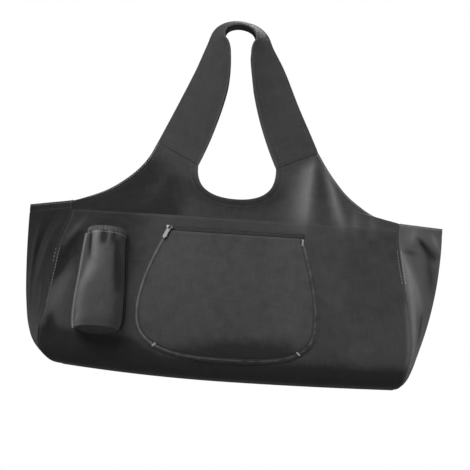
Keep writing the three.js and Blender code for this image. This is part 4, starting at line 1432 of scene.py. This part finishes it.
def bottle_point(turn, height, grow=0.0):
    """A point of the pocket's wall: turn runs from its left side to its right, height up from its foot."""
    turn, height = alike(turn, height)
    half_width, depth, shift = read_table(BOTTLE_SECTIONS, height)
    angle = np.pi * (1 - turn)
    reach = GATHER_REACH * (1 + 0.35 * soft_noise(turn * 40, 0, 3, 91))
    drawn = np.clip(1 - (BOTTLE_HEIGHT - ELASTIC_HEIGHT - height) / reach, 0, 1) ** 1.5
    pleat = np.sin(angle) * np.cos(2 * GATHER_COUNT * angle + 0.8 * soft_noise(turn * 30, 0, 4, 92))
    waves = BOTTLE_UNDULATION * np.sin(angle) * soft_noise(turn * 150, height * 0.5, BOTTLE_WAVES, 93)
    folds = fold_relief(BOTTLE_FOLDS, turn * BOTTLE_WALL, height)
    waves = waves + folds * smooth((BOTTLE_HEIGHT + 2 - ELASTIC_HEIGHT - height) / 10)
    swollen = 1 + (GATHER_HEIGHT * drawn * pleat + waves + grow) / depth
    across = np.cos(angle)
    forward = np.maximum(np.sin(angle), 0)
    rounding = 2 / BOTTLE_ROUNDNESS
    x = BOTTLE_X + shift + half_width * swollen * np.sign(across) * np.abs(across) ** rounding
    point = front_at(x, BOTTLE_FOOT_Z + height + BOTTLE_FRONT_RISE * forward)
    point[..., 1] -= LAY_GAP + POCKET_CLOTH * 0.6 + depth * swollen * forward ** rounding
    return point


bottle_seam = BOTTLE_HEIGHT - ELASTIC_HEIGHT
bottle_turn, bottle_level = even_grid((0, 1), (0, bottle_seam), BOTTLE_GRID)
bottle_grid = bottle_point(bottle_turn, bottle_level)
bottle_folded = fold_relief(BOTTLE_FOLDS, bottle_turn * BOTTLE_WALL, bottle_level)
# Painted highlight and shade on the folds, and wear at the foot and at the hem.
bottle_wear_and_light = fold_light_and_wear(bottle_folded, height=5, dark=-0.9, light=0.6)
bottle_wear_and_light += 0.15 * bell(bottle_level, HEM_WEAR_WIDTH)
bottle_wear_and_light += HEM_WEAR * bell(bottle_seam - bottle_level, HEM_WEAR_WIDTH)
# Painted highlight down the left of its front, strongest below the elastic, and painted shade towards its
# right.
bottle_highlight_turn = 0.21 + 0.17 * fade(bottle_level, 65, 50)
bottle_wear_and_light += 1.1 * bell(bottle_turn - bottle_highlight_turn, 0.11)
bottle_wear_and_light -= 0.3 * fade(bottle_turn, 0.6, 0.25)


def sewn_margin(edge, sign):
    """The margin that is turned outward along one side and stitched flat to the front panel."""
    out = np.array(MARGIN_LINES)[:, None]
    x, z = (edge[None, :, axis] + np.zeros_like(out) for axis in (0, 2))
    margin = front_at(x + sign * out, z)
    margin[..., 1] -= LAY_GAP + POCKET_CLOTH - 0.4 * bell(out - MARGIN_ROW, 1.0)
    return margin.swapaxes(0, 1)


left_margin = sewn_margin(bottle_grid[:, 0], -1)
right_margin = sewn_margin(bottle_grid[:, -1], 1)[:, ::-1]
bottle_sewn = np.concatenate([left_margin, bottle_grid, right_margin], 1)
margin_columns = len(MARGIN_LINES)
bottle_wear_and_light = np.pad(
    bottle_wear_and_light, ((0, 0), (margin_columns, margin_columns)), constant_values=((0, 0), MARGIN_LIGHT_AND_SHADE))
bottle_pocket = sew_cloth("pocket_bottle", bottle_sewn, POCKET_CLOTH, pocket_finish, bottle_wear_and_light)
bottle_face = face_of(bottle_grid).swapaxes(0, 1)
margin_row = MARGIN_LINES.index(MARGIN_ROW)
bottle_rubbed = [face_of(left_margin)[:, margin_row], bottle_face[:, -3]]
bottle_rows = [face_of(right_margin)[:, -1 - margin_row], bottle_face[:, 3]]
bottle_stitches = [
    sew_rows("edge_stitches_bottle", bottle_rubbed, 94, RUBBED_STITCH, grey_thread),
    sew_rows("stitches_bottle", bottle_rows, 95),
]
put_on_bag(bottle_pocket, "bottle_pocket")


# Elastic hem: a ribbed tape that gathers the mouth of the bottle pocket. It is sewn over the pocket's
# upper edge while it is stretched.
ELASTIC_RIBS = 30
ELASTIC_CLOTH = 2.4
ELASTIC_GRID = (360, 10)
RIB_HEIGHT = 0.8
elastic_finish = woven_finish(
    "black_elastic", (0.007, 0.007, 0.007), (0.09, 0.09, 0.091), weave=0.0016, relief=0.8)
elastic_turn, elastic_level = even_grid((0, 1), (bottle_seam, BOTTLE_HEIGHT), ELASTIC_GRID)
elastic_ribs = np.cos(elastic_turn * 2 * np.pi * ELASTIC_RIBS + soft_noise(elastic_turn * 60, 0, 3, 96))
elastic_grid = bottle_point(elastic_turn, elastic_level, RIB_HEIGHT * (1 + elastic_ribs))
# Painted light on the left of the elastic, painted shade towards its right, and a painted highlight on the
# crest of each rib.
elastic_light_and_shade = 1.1 - 0.9 * fade(elastic_turn, 0.45, 0.35) + 0.6 * elastic_ribs
bottle_elastic = sew_cloth(
    "pocket_bottle_elastic", elastic_grid, ELASTIC_CLOTH, elastic_finish, elastic_light_and_shade)
put_on_bag(bottle_elastic, "bottle_pocket_elastic")


# Bottle pocket's foot: a small oval of the pocket's cloth that closes the pocket below. It is sewn to the
# lower edge of the band and to the front panel.
BOTTLE_FOOT_SAG = 10
FOOT_GRID = (60, 16)
foot_u, foot_v = even_grid((0.02, 0.98), (0, 1), FOOT_GRID)
foot_rim = bottle_point(foot_u, 0)
foot_turn = (foot_rim[..., 0] - BOTTLE_X - BOTTLE_SECTIONS[0][3]) / BOTTLE_SECTIONS[0][1]
foot_back = front_at(foot_rim[..., 0], BOTTLE_FOOT_Z - BOTTLE_FOOT_SAG * (1 - foot_turn ** 2))
foot_grid = foot_back * (1 - foot_v[..., None]) + foot_rim * foot_v[..., None]
foot_grid[..., 1] -= LAY_GAP * (1 - foot_v)
# Painted shade all over the foot.
bottle_foot = sew_cloth("pocket_bottle_foot", foot_grid, POCKET_CLOTH, pocket_finish, low_shade(0))
put_on_bag(bottle_foot, "bottle_pocket_base")
